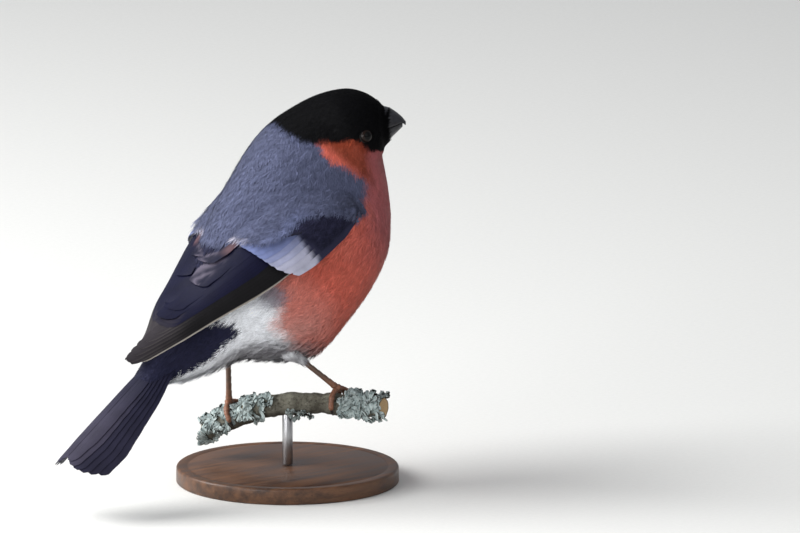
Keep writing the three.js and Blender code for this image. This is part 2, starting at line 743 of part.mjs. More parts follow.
const bird = new THREE.Group();
bird.position.set(0, 0, FOOTING);
const eyes = { left: eyeParts(1), right: eyeParts(-1) };
const head = union([skull, eyes.left.lid, eyes.right.lid])
  .subtract(eyes.left.socket)
  .subtract(eyes.right.socket);
bird.add(meshOf("head", head, MATERIALS.cap));
bird.add(meshOf("neck", neck, MATERIALS.neck));
bird.add(meshOf("torso", torso, MATERIALS.torso));
const face = bodyPiece(HEAD_CUT, BILL_END, 10, GAP);
bird.add(meshOf("bill_upper", billHalf(true).subtract(face).subtract(nostrils()), MATERIALS.bill));
bird.add(meshOf("bill_lower", billHalf(false).subtract(face), MATERIALS.bill));
for (const name of ["left", "right"]) {
  bird.add(meshOf(`eye_${name}`, eyes[name].ball, MATERIALS.eye));
  bird.add(meshOf(`wing_${name}`, wing(WINGS[name]), MATERIALS.wing));
  const leg = legParts(LEGS[name]);
  bird.add(meshOf(`tarsus_${name}`, leg.tarsus, MATERIALS.leg));
  bird.add(meshOf(`foot_${name}`, leg.foot, MATERIALS.leg));
}
bird.add(meshOf("tail", tail(), MATERIALS.tail));
bird.add(meshOf("perch", perchSolid(), MATERIALS.bark));

const object = new THREE.Group();
object.add(bird);
object.add(meshOf("stand_base", standBase(), MATERIALS.base));
object.add(meshOf("stand_rod", standRod(), MATERIALS.rod));

export default object;
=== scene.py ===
# A male bullfinch on a short cut length of lichened branch, held by a plain display stand.
# The bird is worked out in millimetres in its own frame, whose origin is the top of the branch
# midway between the feet: +X ahead, +Y to its left, +Z up. add_mesh turns that into metres.
import math

import bpy
import numpy as np
from mathutils import Matrix, Vector


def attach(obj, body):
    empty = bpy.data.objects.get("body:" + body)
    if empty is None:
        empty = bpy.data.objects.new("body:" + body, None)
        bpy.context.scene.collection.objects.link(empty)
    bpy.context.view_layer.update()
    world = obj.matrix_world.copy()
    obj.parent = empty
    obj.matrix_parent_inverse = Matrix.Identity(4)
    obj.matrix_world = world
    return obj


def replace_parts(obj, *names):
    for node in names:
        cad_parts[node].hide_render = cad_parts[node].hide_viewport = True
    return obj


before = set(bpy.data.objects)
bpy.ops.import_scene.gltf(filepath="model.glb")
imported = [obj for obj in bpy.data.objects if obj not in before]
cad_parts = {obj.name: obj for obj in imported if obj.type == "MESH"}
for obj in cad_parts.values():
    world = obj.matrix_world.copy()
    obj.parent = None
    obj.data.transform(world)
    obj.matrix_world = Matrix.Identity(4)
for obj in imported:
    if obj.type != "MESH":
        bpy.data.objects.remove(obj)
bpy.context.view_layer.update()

MM = 0.001
FOOTING = 27.5  # height of the branch's top above the floor
GAP = 0.3  # left between pieces that touch
WING_LENGTH = 90.0  # bend of the folded wing to its tip
TAIL_LENGTH = 63.4
EYE_RADIUS = 2.25
TARSUS_RADIUS = 0.95
TOE_RADIUS = 0.85
PERCH_RADIUS = 3.4
HEAD_YAW = math.radians(-42)  # the head is turned to the bird's right
SEED = 20


# Small maths, all on arrays

def lerp(a, b, t):
    return a + (b - a) * t


def smooth(x, low, high):
    t = np.clip((np.asarray(x, float) - low) / (high - low), 0, 1)
    return t * t * (3 - 2 * t)


def vec(*values):
    return np.array(values, float)


def unit(v):
    return v / np.linalg.norm(v, axis=-1, keepdims=True)


def arrays(*values):
    """The values as arrays of one shape."""
    return np.broadcast_arrays(*[np.asarray(value, float) for value in values])


def stacked(*values):
    """Points from an array or a number for each of their coordinates."""
    return np.stack(arrays(*values), -1)


def turns(count):
    """Angles all the way round."""
    return np.linspace(0, 2 * np.pi, count, endpoint=False)


def through(stations, x):
    """Smooth values at x through rows of [x, value, ...]."""
    table = np.asarray(stations, float)
    xs, values = table[:, 0], table[:, 1:]
    last = len(xs) - 1
    x = np.asarray(x, float)
    i = np.clip(np.searchsorted(xs, x) - 1, 0, last - 1)
    before = np.maximum(np.arange(last + 1) - 1, 0)
    after = np.minimum(np.arange(last + 1) + 1, last)
    slopes = (values[after] - values[before]) / (xs[after] - xs[before])[:, None]
    span = (xs[i + 1] - xs[i])[..., None]
    t = np.clip((x[..., None] - xs[i][..., None]) / span, 0, 1)
    leaving = t * (1 - t) ** 2 * span * slopes[i]
    arriving = t * t * (t - 1) * span * slopes[i + 1]
    out = lerp(values[i], values[i + 1], t * t * (3 - 2 * t)) + leaving + arriving
    return out[..., 0] if values.shape[1] == 1 else out


HASH = (73856093, 19349663, 2654435761)  # large primes that scatter the numbers of a cell
SEED_PRIME, MIXING_PRIME = 83492791, 1274126177


def noise(points, size, seed=0):
    """Smooth noise from -1 to 1 whose lumps are about size across."""
    points = np.asarray(points, float) / size + 100.0
    cell = np.floor(points).astype(np.int64)
    t = points - cell
    t = t * t * (3 - 2 * t)
    out = np.zeros(points.shape[:-1])
    for corner in np.ndindex(*(2,) * points.shape[-1]):
        mixed = (seed + 1) * SEED_PRIME
        for part, prime in zip(np.moveaxis(cell + corner, -1, 0), HASH):
            mixed = mixed ^ part * prime
        mixed = (mixed ^ (mixed >> 13)) * MIXING_PRIME % 2 ** 32
        value = (mixed ^ (mixed >> 16)) % 2 ** 16 / (2 ** 15 - 0.5) - 1
        out += value * np.prod(np.where(corner, t, 1 - t), axis=-1)
    return out


def halton(count, base):
    """Evenly spread numbers from 0 to 1, the same on each run."""
    out = np.zeros(count)
    index = np.arange(1, count + 1)
    share = 1.0
    while index.any():
        share /= base
        out += share * (index % base)
        index //= base
    return out


# Meshes

def add_mesh(name, points, faces, material, colours=None, lie=None, baked=None, normals=None):
    """A smooth mesh from points in millimetres and a list of face arrays, on the one body.
    colours, lie, baked and normals give a value for each point, and lie is for the material."""
    mesh = bpy.data.meshes.new(name)
    placed = (np.asarray(points, float).reshape(-1, 3) + vec(0, 0, FOOTING)) * MM
    faces = [np.asarray(f) for f in (faces if isinstance(faces, list) else [faces])]
    corners = np.concatenate([f.ravel() for f in faces]).astype(np.int32)
    sizes = np.concatenate([np.full(len(f), f.shape[1]) for f in faces]).astype(np.int32)
    starts = np.concatenate([[0], np.cumsum(sizes)[:-1]]).astype(np.int32)
    mesh.vertices.add(len(placed))
    mesh.vertices.foreach_set("co", placed.astype(np.float32).ravel())
    mesh.loops.add(len(corners))
    mesh.loops.foreach_set("vertex_index", corners)
    mesh.polygons.add(len(sizes))
    mesh.polygons.foreach_set("loop_start", starts)
    mesh.polygons.foreach_set("loop_total", sizes)
    mesh.polygons.foreach_set("use_smooth", np.ones(len(sizes), bool))
    if lie is not None:
        layer = mesh.attributes.new("Lie", "FLOAT_VECTOR", "POINT")
        layer.data.foreach_set("vector", np.asarray(lie, np.float32).ravel())
    if colours is not None:
        layer = mesh.color_attributes.new("Markings", "FLOAT_COLOR", "POINT")
        filled = np.ones((len(placed), 4), np.float32)
        filled[:, :3] = np.asarray(colours).reshape(-1, 3)
        layer.data.foreach_set("color", filled.ravel())
    if baked is not None:
        layer = mesh.uv_layers.new(name="OFBake")
        layer.data.foreach_set("uv", np.asarray(baked, np.float32).reshape(-1, 2)[corners].ravel())
    mesh.update(calc_edges=True)
    if normals is not None:
        mesh.normals_split_custom_set_from_vertices(np.asarray(normals, np.float32).reshape(-1, 3))
    piece = bpy.data.objects.new(name, mesh)
    bpy.context.scene.collection.objects.link(piece)
    mesh.materials.append(material)
    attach(piece, "root")
    return piece


def grid_faces(rows, columns, closed=False, looped=False):
    """Quads over a grid of points, closed round its columns and looped round its rows if asked."""
    steps = (rows if looped else rows - 1, columns if closed else columns - 1)
    i, j = np.indices(steps)
    here, after = i * columns, (i + 1) % rows * columns
    across = (j + 1) % columns
    return np.stack([here + j, here + across, after + across, after + j], -1).reshape(-1, 4)


def facing_out(points, faces):
    """The faces of a closed body, turned over if they face inwards."""
    volume = 0.0
    for f in faces:
        for k in range(1, f.shape[1] - 1):
            a, b, c = points[f[:, 0]], points[f[:, k]], points[f[:, k + 1]]
            volume += (a * np.cross(b, c)).sum()
    return faces if volume > 0 else [f[:, ::-1] for f in faces]


def loft(rings):
    """Points and faces of a closed body from rings, each an array of points."""
    rings = np.asarray(rings, float)
    rows, columns = rings.shape[:2]
    hubs = rings[[0, -1]].mean(1)
    points = np.concatenate([rings.reshape(-1, 3), hubs])
    first = np.arange(columns)
    second = (first + 1) % columns
    last = (rows - 1) * columns
    ends = [
        np.stack([np.full(columns, len(points) - 2), second, first], -1),
        np.stack([np.full(columns, len(points) - 1), last + first, last + second], -1),
    ]
    return points, facing_out(points, [grid_faces(rows, columns, closed=True), *ends])


def with_hubs(values):
    """A loft's values in rows and columns as one for each of its points, the two hubs last."""
    values = values.reshape(-1, 3)
    return np.concatenate([values, values[:1], values[-1:]])


def turned_body(radii, heights, sides):
    """Points and faces of a body turned about the stand's upright axis, from the floor up."""
    turn = turns(sides)
    radii, heights = [np.asarray(values, float)[:, None] for values in (radii, heights)]
    return loft(stacked(radii * np.cos(turn), radii * np.sin(turn), heights - FOOTING))


def thin_sheet(top, bottom):
    """Points and faces of a closed sheet between two grids of points."""
    rows, columns = top.shape[:2]
    count = rows * columns
    index = np.arange(count).reshape(rows, columns)
    rim = np.concatenate([index[:, 0], index[-1, 1:], index[-2::-1, -1], index[0, -2:0:-1]])
    following = np.roll(rim, -1)
    wall = np.stack([rim, rim + count, following + count, following], -1)
    quads = grid_faces(rows, columns)
    points = np.concatenate([top.reshape(-1, 3), bottom.reshape(-1, 3)])
    return points, facing_out(points, [quads, quads[:, ::-1] + count, wall])


def frames_along(points):
    """Directions along a line of points and two across it that don't twist."""
    along = unit(np.gradient(points, axis=0))
    side = np.zeros_like(along)
    previous = vec(0, 0, 1) if abs(along[0, 2]) < 0.9 else vec(1, 0, 0)
    for i, direction in enumerate(along):
        previous = unit(previous - direction * (previous @ direction))
        side[i] = previous
    return along, side, np.cross(along, side)


def tube_rings(points, radii):
    """Rings round a line, with as many radii for each of its points as the rings have sides."""
    _, side, third = frames_along(points)
    turn = turns(radii.shape[1])[:, None]
    across = np.cos(turn) * side[:, None] + np.sin(turn) * third[:, None]
    return points[:, None] + across * radii[..., None]


def joined(parts):
    """Several (points, faces, extra arrays...) as one, with faces as a list of quads and triangles."""
    points, faces, extras, offset = [], {3: [], 4: []}, [], 0
    for part in parts:
        points.append(part[0])
        for f in part[1] if isinstance(part[1], list) else [part[1]]:
            faces[f.shape[1]].append(f + offset)
        extras.append(part[2:])
        offset += len(part[0])
    merged = [np.concatenate(f) for f in faces.values() if f]
    return (np.concatenate(points), merged, *[np.concatenate(e) for e in zip(*extras)])


# Materials

class Graph:
    """The nodes of one material, made and joined in code."""

    def __init__(self, name, **values):
        self.material = bpy.data.materials.new(name)
        self.material.use_nodes = True
        self.nodes = self.material.node_tree.nodes
        self.shader = self.nodes["Principled BSDF"]
        for key, value in values.items():
            self.shader.inputs[key.replace("_", " ")].default_value = value

    def put(self, socket, value):
        if isinstance(value, bpy.types.NodeSocket):
            self.material.node_tree.links.new(value, socket)
        else:
            socket.default_value = value

    def add(self, kind, inputs, **settings):
        node = self.nodes.new("ShaderNode" + kind)
        for key, value in settings.items():
            setattr(node, key, value)
        for key, value in inputs.items():
            self.put(node.inputs[key], value)
        return node

    def place(self):
        return self.add("TexCoord", {}).outputs["Object"]

    def attribute(self, name, output="Vector"):
        return self.add("Attribute", {}, attribute_name=name).outputs[output]

    def lie(self):
        return self.add("SeparateXYZ", {0: self.attribute("Lie")}).outputs

    def maths(self, operation, a, b=0.0, c=0.0):
        return self.add("Math", {0: a, 1: b, 2: c}, operation=operation).outputs[0]

    def times(self, a, b):
        return self.maths("MULTIPLY", a, b)

    def scaled(self, vector, factors):
        return self.add("VectorMath", {0: vector, 1: factors}, operation="MULTIPLY").outputs[0]

    def noise(self, size, detail=3.0, roughness=0.55, place=None):
        """Noise whose lumps are about size millimetres across, at a place in metres."""
        values = {"Scale": 1 / (size * MM), "Detail": detail, "Roughness": roughness}
        values["Vector"] = self.place() if place is None else place
        return self.add("TexNoise", values).outputs["Fac"]

    def range(self, value, low, high, to_low=0.0, to_high=1.0):
        values = {0: value, 1: low, 2: high, 3: to_low, 4: to_high}
        return self.add("MapRange", values).outputs[0]

    def mix(self, share, a, b, blend="MIX"):
        node = self.add("Mix", {0: share, 6: a, 7: b}, data_type="RGBA", blend_type=blend)
        return node.outputs[2]

    def shaded(self, share):
        """The piece's own markings, made lighter or darker by a share."""
        level = self.add("CombineXYZ", {0: share, 1: share, 2: share}).outputs[0]
        return self.scaled(self.attribute("Markings", "Color"), level)

    def bump(self, height, distance, normal=None, strength=1.0):
        values = {"Height": height, "Distance": distance * MM, "Strength": strength}
        if normal is not None:
            values["Normal"] = normal
        return self.add("Bump", values).outputs["Normal"]

    def finish(self, colour=None, roughness=None, normal=None):
        for key, value in (("Base Color", colour), ("Roughness", roughness), ("Normal", normal)):
            if value is not None:
                self.put(self.shader.inputs[key], value)
        return self.material


def rgb(red, green, blue):
    """A colour as the shader takes it, from its display values of 0 to 255."""
    v = vec(red, green, blue) / 255
    return np.where(v <= 0.04045, v / 12.92, ((v + 0.055) / 1.055) ** 2.4)


def rgba(red, green, blue):
    return (*rgb(red, green, blue), 1.0)


def plumage_material(name, roughness, sheen, shine, streak):
    """Small feathers: the marking at each point, with mottling, and barbs that differ a little."""
    graph = Graph(name, Sheen_Weight=sheen, Sheen_Roughness=0.5, Specular_IOR_Level=shine)
    lie = graph.lie()
    mottle = graph.noise(2.6)
    fine = graph.noise(0.45, 2.0)
    shade = graph.range(mottle, 0.25, 0.75, 0.9, 1.1)
    shade = graph.times(shade, graph.range(fine, 0.2, 0.8, 0.92, 1.08))
    shade = graph.times(shade, graph.range(lie["Y"], 0, 1, 1 - streak, 1 + streak))
    rough = graph.range(fine, 0.2, 0.8, roughness - 0.08, roughness + 0.08)
    return graph.finish(graph.shaded(shade), rough, graph.bump(fine, 0.03, strength=0.4))


def vane_material(name, roughness, shine):
    """Flight feathers: barbs that run out from the shaft, with gloss between them."""
    graph = Graph(name, Specular_IOR_Level=shine)
    lie = graph.lie()
    across = graph.maths("ABSOLUTE", lie["Y"])
    run = graph.maths("MULTIPLY_ADD", across, -1.35, lie["X"])
    wobble = graph.noise(1.8)
    run = graph.maths("MULTIPLY_ADD", wobble, 0.35, run)
    barbs = graph.maths("SINE", graph.times(run, 2 * math.pi / 0.42))
    patches = graph.noise(5.0)
    fine = graph.noise(0.3, 2.0)
    share = graph.range(patches, 0.3, 0.7, 0.86, 1.16)
    share = graph.times(share, graph.range(barbs, -1, 1, 0.93, 1.07))
    rough = graph.range(fine, 0.2, 0.8, roughness - 0.07, roughness + 0.09)
    height = graph.maths("MULTIPLY_ADD", fine, 0.5, barbs)
    return graph.finish(graph.shaded(share), rough, graph.bump(height, 0.012, strength=0.5))


def skin_material():
    graph = Graph("skin", Specular_IOR_Level=0.3)
    pores = graph.noise(0.5, 4.0)
    share = graph.range(pores, 0.2, 0.8, 0.5, 0.8)
    rough = graph.range(pores, 0.2, 0.8, 0.75, 0.95)
    return graph.finish(graph.shaded(share), rough, graph.bump(pores, 0.15))


def bill_material():
    graph = Graph("bill horn", Specular_IOR_Level=0.35, Coat_Weight=0.25, Coat_Roughness=0.3)
    lie = graph.attribute("Lie")
    growth = graph.noise(0.5, place=graph.scaled(lie, (0.004, 0.0006, 0.001)))
    patches = graph.noise(1.6)
    chipped = graph.noise(0.35, 2.0)
    colour = graph.mix(graph.range(patches, 0.35, 0.7), rgba(20, 20, 24), rgba(40, 41, 48))
    colour = graph.mix(graph.range(chipped, 0.64, 0.76, 0, 0.25), colour, rgba(96, 92, 88))
    height = graph.maths("MULTIPLY_ADD", chipped, 0.35, growth)
    return graph.finish(colour, graph.range(patches, 0.3, 0.7, 0.3, 0.48), graph.bump(height, 0.05))


def eye_material():
    """A dark brown iris round a black pupil, under a wet surface."""
    graph = Graph("eye", Specular_IOR_Level=0.1, Coat_Weight=0.1, Coat_Roughness=0.05)
    lie = graph.lie()
    rays = graph.noise(0.25)
    iris = graph.mix(rays, rgba(12, 8, 7), rgba(30, 18, 13))
    ring = graph.range(graph.maths("MULTIPLY_ADD", rays, 0.06, lie["X"]), 0.56, 0.64)
    colour = graph.mix(ring, rgba(3, 3, 3), iris)
    edge = graph.range(lie["X"], 0.86, 0.95)
    colour = graph.mix(edge, colour, rgba(8, 7, 7))
    return graph.finish(colour, graph.range(rays, 0, 1, 0.1, 0.2), graph.bump(rays, 0.01))


def leg_material():
    graph = Graph("leg scales", Specular_IOR_Level=0.45, Coat_Weight=0.1)
    lie = graph.lie()
    patches = graph.noise(1.2)
    fine = graph.noise(0.18)
    colour = graph.mix(graph.range(patches, 0.3, 0.7), rgba(96, 64, 48), rgba(136, 88, 64))
    colour = graph.mix(graph.range(fine, 0.5, 0.8, 0, 0.4), colour, rgba(160, 128, 104))
    shin = graph.times(graph.range(lie["Y"], -0.8, -0.4, 1, 0), graph.range(lie["X"], 0, 0.3))
    colour = graph.mix(graph.times(shin, 0.8), colour, rgba(80, 66, 56))
    claw = graph.range(lie["Y"], 0.4, 0.7)
    colour = graph.mix(claw, colour, rgba(26, 20, 18))
    rough = graph.range(claw, 0, 1, 0.55, 0.28)
    return graph.finish(colour, rough, graph.bump(fine, 0.05))


def bark_material():
    graph = Graph("bark", Specular_IOR_Level=0.25)
    lie = graph.lie()
    broad = graph.noise(5.0, 4.0)
    cracks = graph.noise(0.9, 5.0, 0.7)
    grain = graph.noise(0.22)
    colour = graph.mix(graph.range(broad, 0.35, 0.65), rgba(86, 83, 72), rgba(138, 136, 122))
    colour = graph.mix(graph.range(cracks, 0.35, 0.5, 0.75, 0), colour, rgba(48, 41, 35))
    colour = graph.mix(graph.range(grain, 0.55, 0.75, 0, 0.45), colour, rgba(182, 177, 168))
    # painted shade: darker where the bark faces down
    colour = graph.mix(graph.range(lie["Z"], -0.6, 0.8, 0.45, 0), colour, rgba(40, 34, 30))
    height = graph.maths("MULTIPLY_ADD", cracks, 2.0, grain)
    return graph.finish(colour, graph.range(grain, 0.2, 0.8, 0.8, 0.98), graph.bump(height, 0.25))


def cut_material():
    """The sawn ends of the branch, with rings round the pith."""
    graph = Graph("cut wood", Specular_IOR_Level=0.25)
    lie = graph.lie()
    wobble = graph.noise(1.2)
    radius = graph.maths("MULTIPLY_ADD", wobble, 0.5, lie["X"])
    rings = graph.maths("SINE", graph.times(radius, 2 * math.pi / 0.45))
    fibres = graph.noise(0.15)
    colour = graph.mix(graph.range(rings, -0.4, 1), rgba(196, 168, 128), rgba(158, 124, 86))
    colour = graph.mix(graph.range(lie["X"], 2.75, 3.05), colour, rgba(64, 50, 38))
    return graph.finish(colour, graph.range(fibres, 0.2, 0.8, 0.7, 0.9), graph.bump(fibres, 0.08))


def lichen_material():
    graph = Graph("lichen", Specular_IOR_Level=0.2)
    lie = graph.lie()
    patches = graph.noise(1.6)
    grain = graph.noise(0.2, 4.0)
    colour = graph.mix(graph.range(patches, 0.35, 0.65), rgba(122, 136, 136), rgba(168, 180, 179))
    colour = graph.mix(graph.range(grain, 0.55, 0.75, 0, 0.35), colour, rgba(214, 220, 216))
    colour = graph.mix(graph.range(lie["X"], 0.1, 0.6, 0.75, 0), colour, rgba(70, 76, 70))
    rim = graph.times(graph.range(lie["Z"], 0.7, 0.95), graph.range(lie["X"], 0.4, 0.8))
    colour = graph.mix(graph.times(rim, 0.6), colour, rgba(206, 214, 208))
    colour = graph.mix(graph.range(lie["Y"], 0.3, 0.6), colour, rgba(48, 44, 38))
    return graph.finish(colour, graph.range(grain, 0.2, 0.8, 0.75, 0.95), graph.bump(grain, 0.1))


def wood_material():
    """Dark turned wood, with its grain across the base."""
    graph = Graph("base wood", Specular_IOR_Level=0.4, Coat_Weight=0.15, Coat_Roughness=0.35)
    bands = graph.noise(3.2, 4.0, 0.6, graph.scaled(graph.place(), (0.09, 1.0, 1.0)))
    pores = graph.noise(0.35, place=graph.scaled(graph.place(), (0.05, 1.0, 1.0)))
    colour = graph.mix(graph.range(bands, 0.35, 0.65), rgba(58, 37, 25), rgba(104, 70, 46))
    colour = graph.mix(graph.range(pores, 0.58, 0.72, 0, 0.7), colour, rgba(34, 21, 14))
    rough = graph.range(bands, 0.3, 0.7, 0.38, 0.52)
    return graph.finish(colour, rough, graph.bump(pores, 0.06))


def steel_material():
    graph = Graph("brushed steel", Metallic=1.0)
    brushed = graph.noise(0.12, place=graph.scaled(graph.place(), (1.0, 1.0, 0.04)))
    colour = graph.mix(brushed, rgba(150, 150, 152), rgba(196, 196, 198))
    return graph.finish(colour, graph.range(brushed, 0.2, 0.8, 0.25, 0.4), graph.bump(brushed, 0.01))


# Body: the same cross-sections that the solids have, with two more that run on under the tail's
# coverts and one over the base of the bill. Each has a name, a station, the (x, z) of its back and
# of its belly, and its half-widths above and below. s counts the stations, 0 at the root of the
# tail, and t turns round from the back, with the bird's left above zero.
SECTIONS = [
    ("tail coverts", -2, (-60.1, 10.5), (-57.3, 6.7), (4.3, 4.3)),
    ("tail base", -1, (-54.3, 17.9), (-49.5, 9.6), (5.4, 5.4)),
    ("tail root", 0, (-45, 27), (-47, 10), (6.5, 7)),
    ("vent", 1, (-42.5, 32.5), (-36.1, 11.6), (10, 11)),
    ("rump", 2, (-38.5, 39.5), (-23.7, 14.3), (13, 15.3)),
    ("loins", 3, (-34, 46.5), (-9.5, 12.3), (15.6, 20.2)),
    ("back", 4, (-28.5, 54.5), (4.5, 11.5), (18, 23.4)),
    ("belly", 5, (-22.5, 62.5), (15.5, 19.4), (20.3, 24.3)),
    ("breast", 6, (-16, 70), (25.3, 29.5), (21.8, 25.4)),
    ("shoulders", 7, (-9.5, 77), (31.6, 40), (21.6, 25)),
    ("neck base", 8, (-2.5, 83.2), (34, 51.5), (19.4, 21.3)),
    ("neck", 9, (5, 87.8), (33.8, 60), (16.2, 17.4)),
    ("occiput", 10, (12.2, 91.3), (33, 66), (13.2, 14)),
    ("crown", 11, (19.5, 93.1), (32.2, 69.6), (11.8, 12)),
    ("eyes", 12, (25, 92.4), (31.8, 72.2), (9.9, 10.3)),
    ("lores", 13, (29.4, 90.2), (32.3, 74), (7.5, 8.1)),
    ("face", 14, (32.2, 87.4), (32.6, 75.8), (4.6, 5.4)),
    ("over the bill", 15, (35.4, 86.9), (35, 78.4), (3.8, 3.9)),
]
STATION = {name: s for name, s, *_ in SECTIONS}
BODY_TABLE = np.array([[s, *back, *belly, *wide] for _, s, back, belly, wide in SECTIONS], float)
FIRST, LAST = BODY_TABLE[0, 0], STATION["face"]
HEAD_PIVOT = vec(12, 0, 72)
FULLNESS = 2.15  # 2 is an ellipse, more is squarer


def turn_head(points, share):
    """Turns points of the straight bird with the head, by the share that each takes."""
    turn = HEAD_YAW * share
    x, y, z = np.moveaxis(points - HEAD_PIVOT, -1, 0)
    turned = [x * np.cos(turn) - y * np.sin(turn), x * np.sin(turn) + y * np.cos(turn), z]
    return np.stack(turned, -1) + HEAD_PIVOT


def on_head(x, y, z):
    return turn_head(stacked(x, y, z), 1.0)


def body_point(s, t, grow=0.0):
    """Points of the body at station s and turn t, grow millimetres off its surface."""
    s, t, grow = arrays(s, t, grow)
    back_x, back_z, belly_x, belly_z, wide_back, wide_belly = np.moveaxis(through(BODY_TABLE, s), -1, 0)
    up = np.stack([back_x - belly_x, back_z - belly_z], -1)
    high = np.linalg.norm(up, axis=-1)
    c, d = np.cos(t), np.sin(t)
    tall = (high / 2 + grow) / high * np.sign(c) * np.abs(c) ** (2 / FULLNESS)
    wide = lerp(wide_belly, wide_back, smooth(c, -0.9, 0.9)) + grow
    x = (back_x + belly_x) / 2 + up[..., 0] * tall
    z = (back_z + belly_z) / 2 + up[..., 1] * tall
    y = wide * np.sign(d) * np.abs(d) ** (2 / FULLNESS)
    return turn_head(np.stack([x, y, z], -1), smooth(s, STATION["breast"], STATION["crown"]))


COAT_DEPTH = [[-2, 0.6], [-1, 1.0], [0, 1.3], [2, 1.9], [4, 2.2], [6, 2.2], [8, 1.8], [9.5, 1.2],
              [11, 0.85], [12.5, 0.6], [14, 0.35]]


def coat_depth(s):
    return through(COAT_DEPTH, np.clip(s, FIRST, LAST))


# Markings: every boundary is a station for each turn from the back, in degrees, so that both
# sides of the bird match.
CAP_EDGE = [[0, 8.1], [31, 8.02], [44, 8.2], [55, 8.52], [65, 8.95], [77, 9.52], [88, 10.15], [98, 10.4],
            [109, 10.8], [120, 11.4], [131, 12.05], [151, 12.8], [180, 13.15]]
RED_EDGE = [[0, 8.6], [45, 8.5], [52, 8.42], [58, 8.25], [64, 8.1], [71, 8.1], [76, 8.3], [84, 8.42],
            [100, 8.4]]
# This one is the other way round, a turn for each station
GREY_TURN = [[3, 55], [4.5, 60], [6.2, 74], [6.7, 84], [7.1, 91], [7.5, 94], [7.9, 98], [8.4, 101]]
WHITE_EDGE = [[60, 3.6], [75, 3.65], [82, 3.6], [89, 3.42], [94, 3.22], [104, 3.1], [117, 3.15],
              [134, 3.35], [144, 3.55], [160, 3.95], [180, 4.2]]
RUMP_EDGE = 3.3
TAIL_EDGE = [[0, 1.2], [55, 1.2], [66, 1.45], [74, 1.8], [86, 2.02], [95, 2.05], [101, 1.8], [105, 1.45],
             [111, 1.15], [122, 0.75], [134, -0.4], [148, -3], [180, -3.5]]
BLACK = rgb(9, 9, 11)
LID = rgb(13, 12, 13)
GREY = rgb(82, 87, 113)
ORANGE = rgb(206, 102, 85)
SHADED_CHEEK = rgb(120, 50, 29)
ROSE = rgb(200, 143, 134)
SHADED_ROSE = rgb(160, 86, 88)
WING_SHADOW_GREY = rgb(104, 98, 114)
WHITE = rgb(242, 244, 248)
DUSKY_AND_SHADE = rgb(142, 140, 146)
BLUE_BLACK_AND_SHADE = rgb(30, 31, 55)
FRINGE_HIGHLIGHT = rgb(192, 188, 202)  # painted highlight on the ends of the longest shoulder feathers


def blended(base, colour, share):
    return lerp(base, colour, np.asarray(share)[..., None])


def even(colour, like):
    """One colour at every place of an array."""
    return np.broadcast_to(colour, (*np.shape(like), 3))


def past(x, edge, soft):
    """0 before an edge and 1 past it, or the other way round where soft is below zero."""
    return smooth(x, edge - soft, edge + soft)


def body_marking(s, t):
    """The colour of the plumage at station s and turn t."""
    s, t = arrays(s, t)
    side = np.abs(np.degrees((t + np.pi) % (2 * np.pi) - np.pi))
    white_edge = through(WHITE_EDGE, side)
    place = np.stack([s * 8, np.degrees(t) / 3], -1)
    ragged = 0.1 * noise(place, 3.0, 1) + 0.05 * noise(place, 1.2, 2)
    # Breast: orange, paler towards the belly, with painted shade underneath along the white's edge, at
    # the sides and on the cheek
    pale = smooth(s, 5.2, 3.4) + 0.3 * noise(place, 6.0, 3)
    colour = blended(ORANGE, ROSE, np.clip(0.8 * pale, 0, 1))
    from_white = s - white_edge + 2 * ragged
    # painted shade in dusky grey on the underside next to the white
    colour = blended(colour, DUSKY_AND_SHADE, 0.55 * smooth(from_white, 0.9, 0.1) * smooth(side, 112, 136))
    # painted shade in darker rose on the upper sides of the breast
    colour = blended(colour, SHADED_ROSE, smooth(s, 5.4, 7.6) * smooth(side, 80, 108))
    # painted shade on the cheek
    cheek_shade = smooth(s, 8.3, 9.0) * smooth(side, 124, 102)
    colour = blended(colour, SHADED_CHEEK, 0.9 * cheek_shade)
    # Belly and vent: white, with painted shade in dusky grey low on the flanks and under the vent, and a
    # painted shadow in bluish grey below the wing's edge
    white = past(s + 1.4 * ragged, white_edge, -0.32)
    # painted shade: dusky grey low on the flanks and under the vent
    underside_shade = smooth(side, 95, 140) * smooth(side, 200, 150) * smooth(s, 0.6, 2.2) * (1.0 + 2 * ragged)
    colour = blended(colour, blended(WHITE, DUSKY_AND_SHADE, np.clip(underside_shade, 0, 1)), white)
    # painted shadow just below the wing's lower edge
    wing_shadow = smooth(np.hypot((s - 3.55) / 0.55, (side - 76) / 12), 1.15, 0.45)
    colour = blended(colour, WING_SHADOW_GREY, 0.75 * wing_shadow)
    # Back: grey down to the red side, then the white rump and black behind it, with painted shade in
    # blue-black on the rump between the wings
    red_side = past(s + ragged, through(RED_EDGE, side), 0.16)
    reach = through(GREY_TURN, np.clip(s, 3, 8.4))
    mantle = (1 - red_side) * smooth(side + 10 * ragged, reach + 4, reach - 4)
    mantle = mantle * past(s + ragged, RUMP_EDGE, 0.25)
    colour = blended(colour, GREY, mantle)
    white_rump = past(s + ragged, RUMP_EDGE, -0.25) * smooth(side, 70, 62)
    colour = blended(colour, WHITE, white_rump)
    black_tail = past(s + 0.2 * ragged, through(TAIL_EDGE, side), -0.06)
    colour = blended(colour, BLUE_BLACK_AND_SHADE, black_tail)
    # painted shade: the white rump between the wings in blue-black, so gaps there read as shadow
    colour = blended(colour, BLUE_BLACK_AND_SHADE, smooth(s, 3.75, 3.5) * smooth(side, 46, 34))
    cap = past(s + 0.6 * ragged, through(CAP_EDGE, side), 0.1)
    return blended(colour, BLACK, cap)


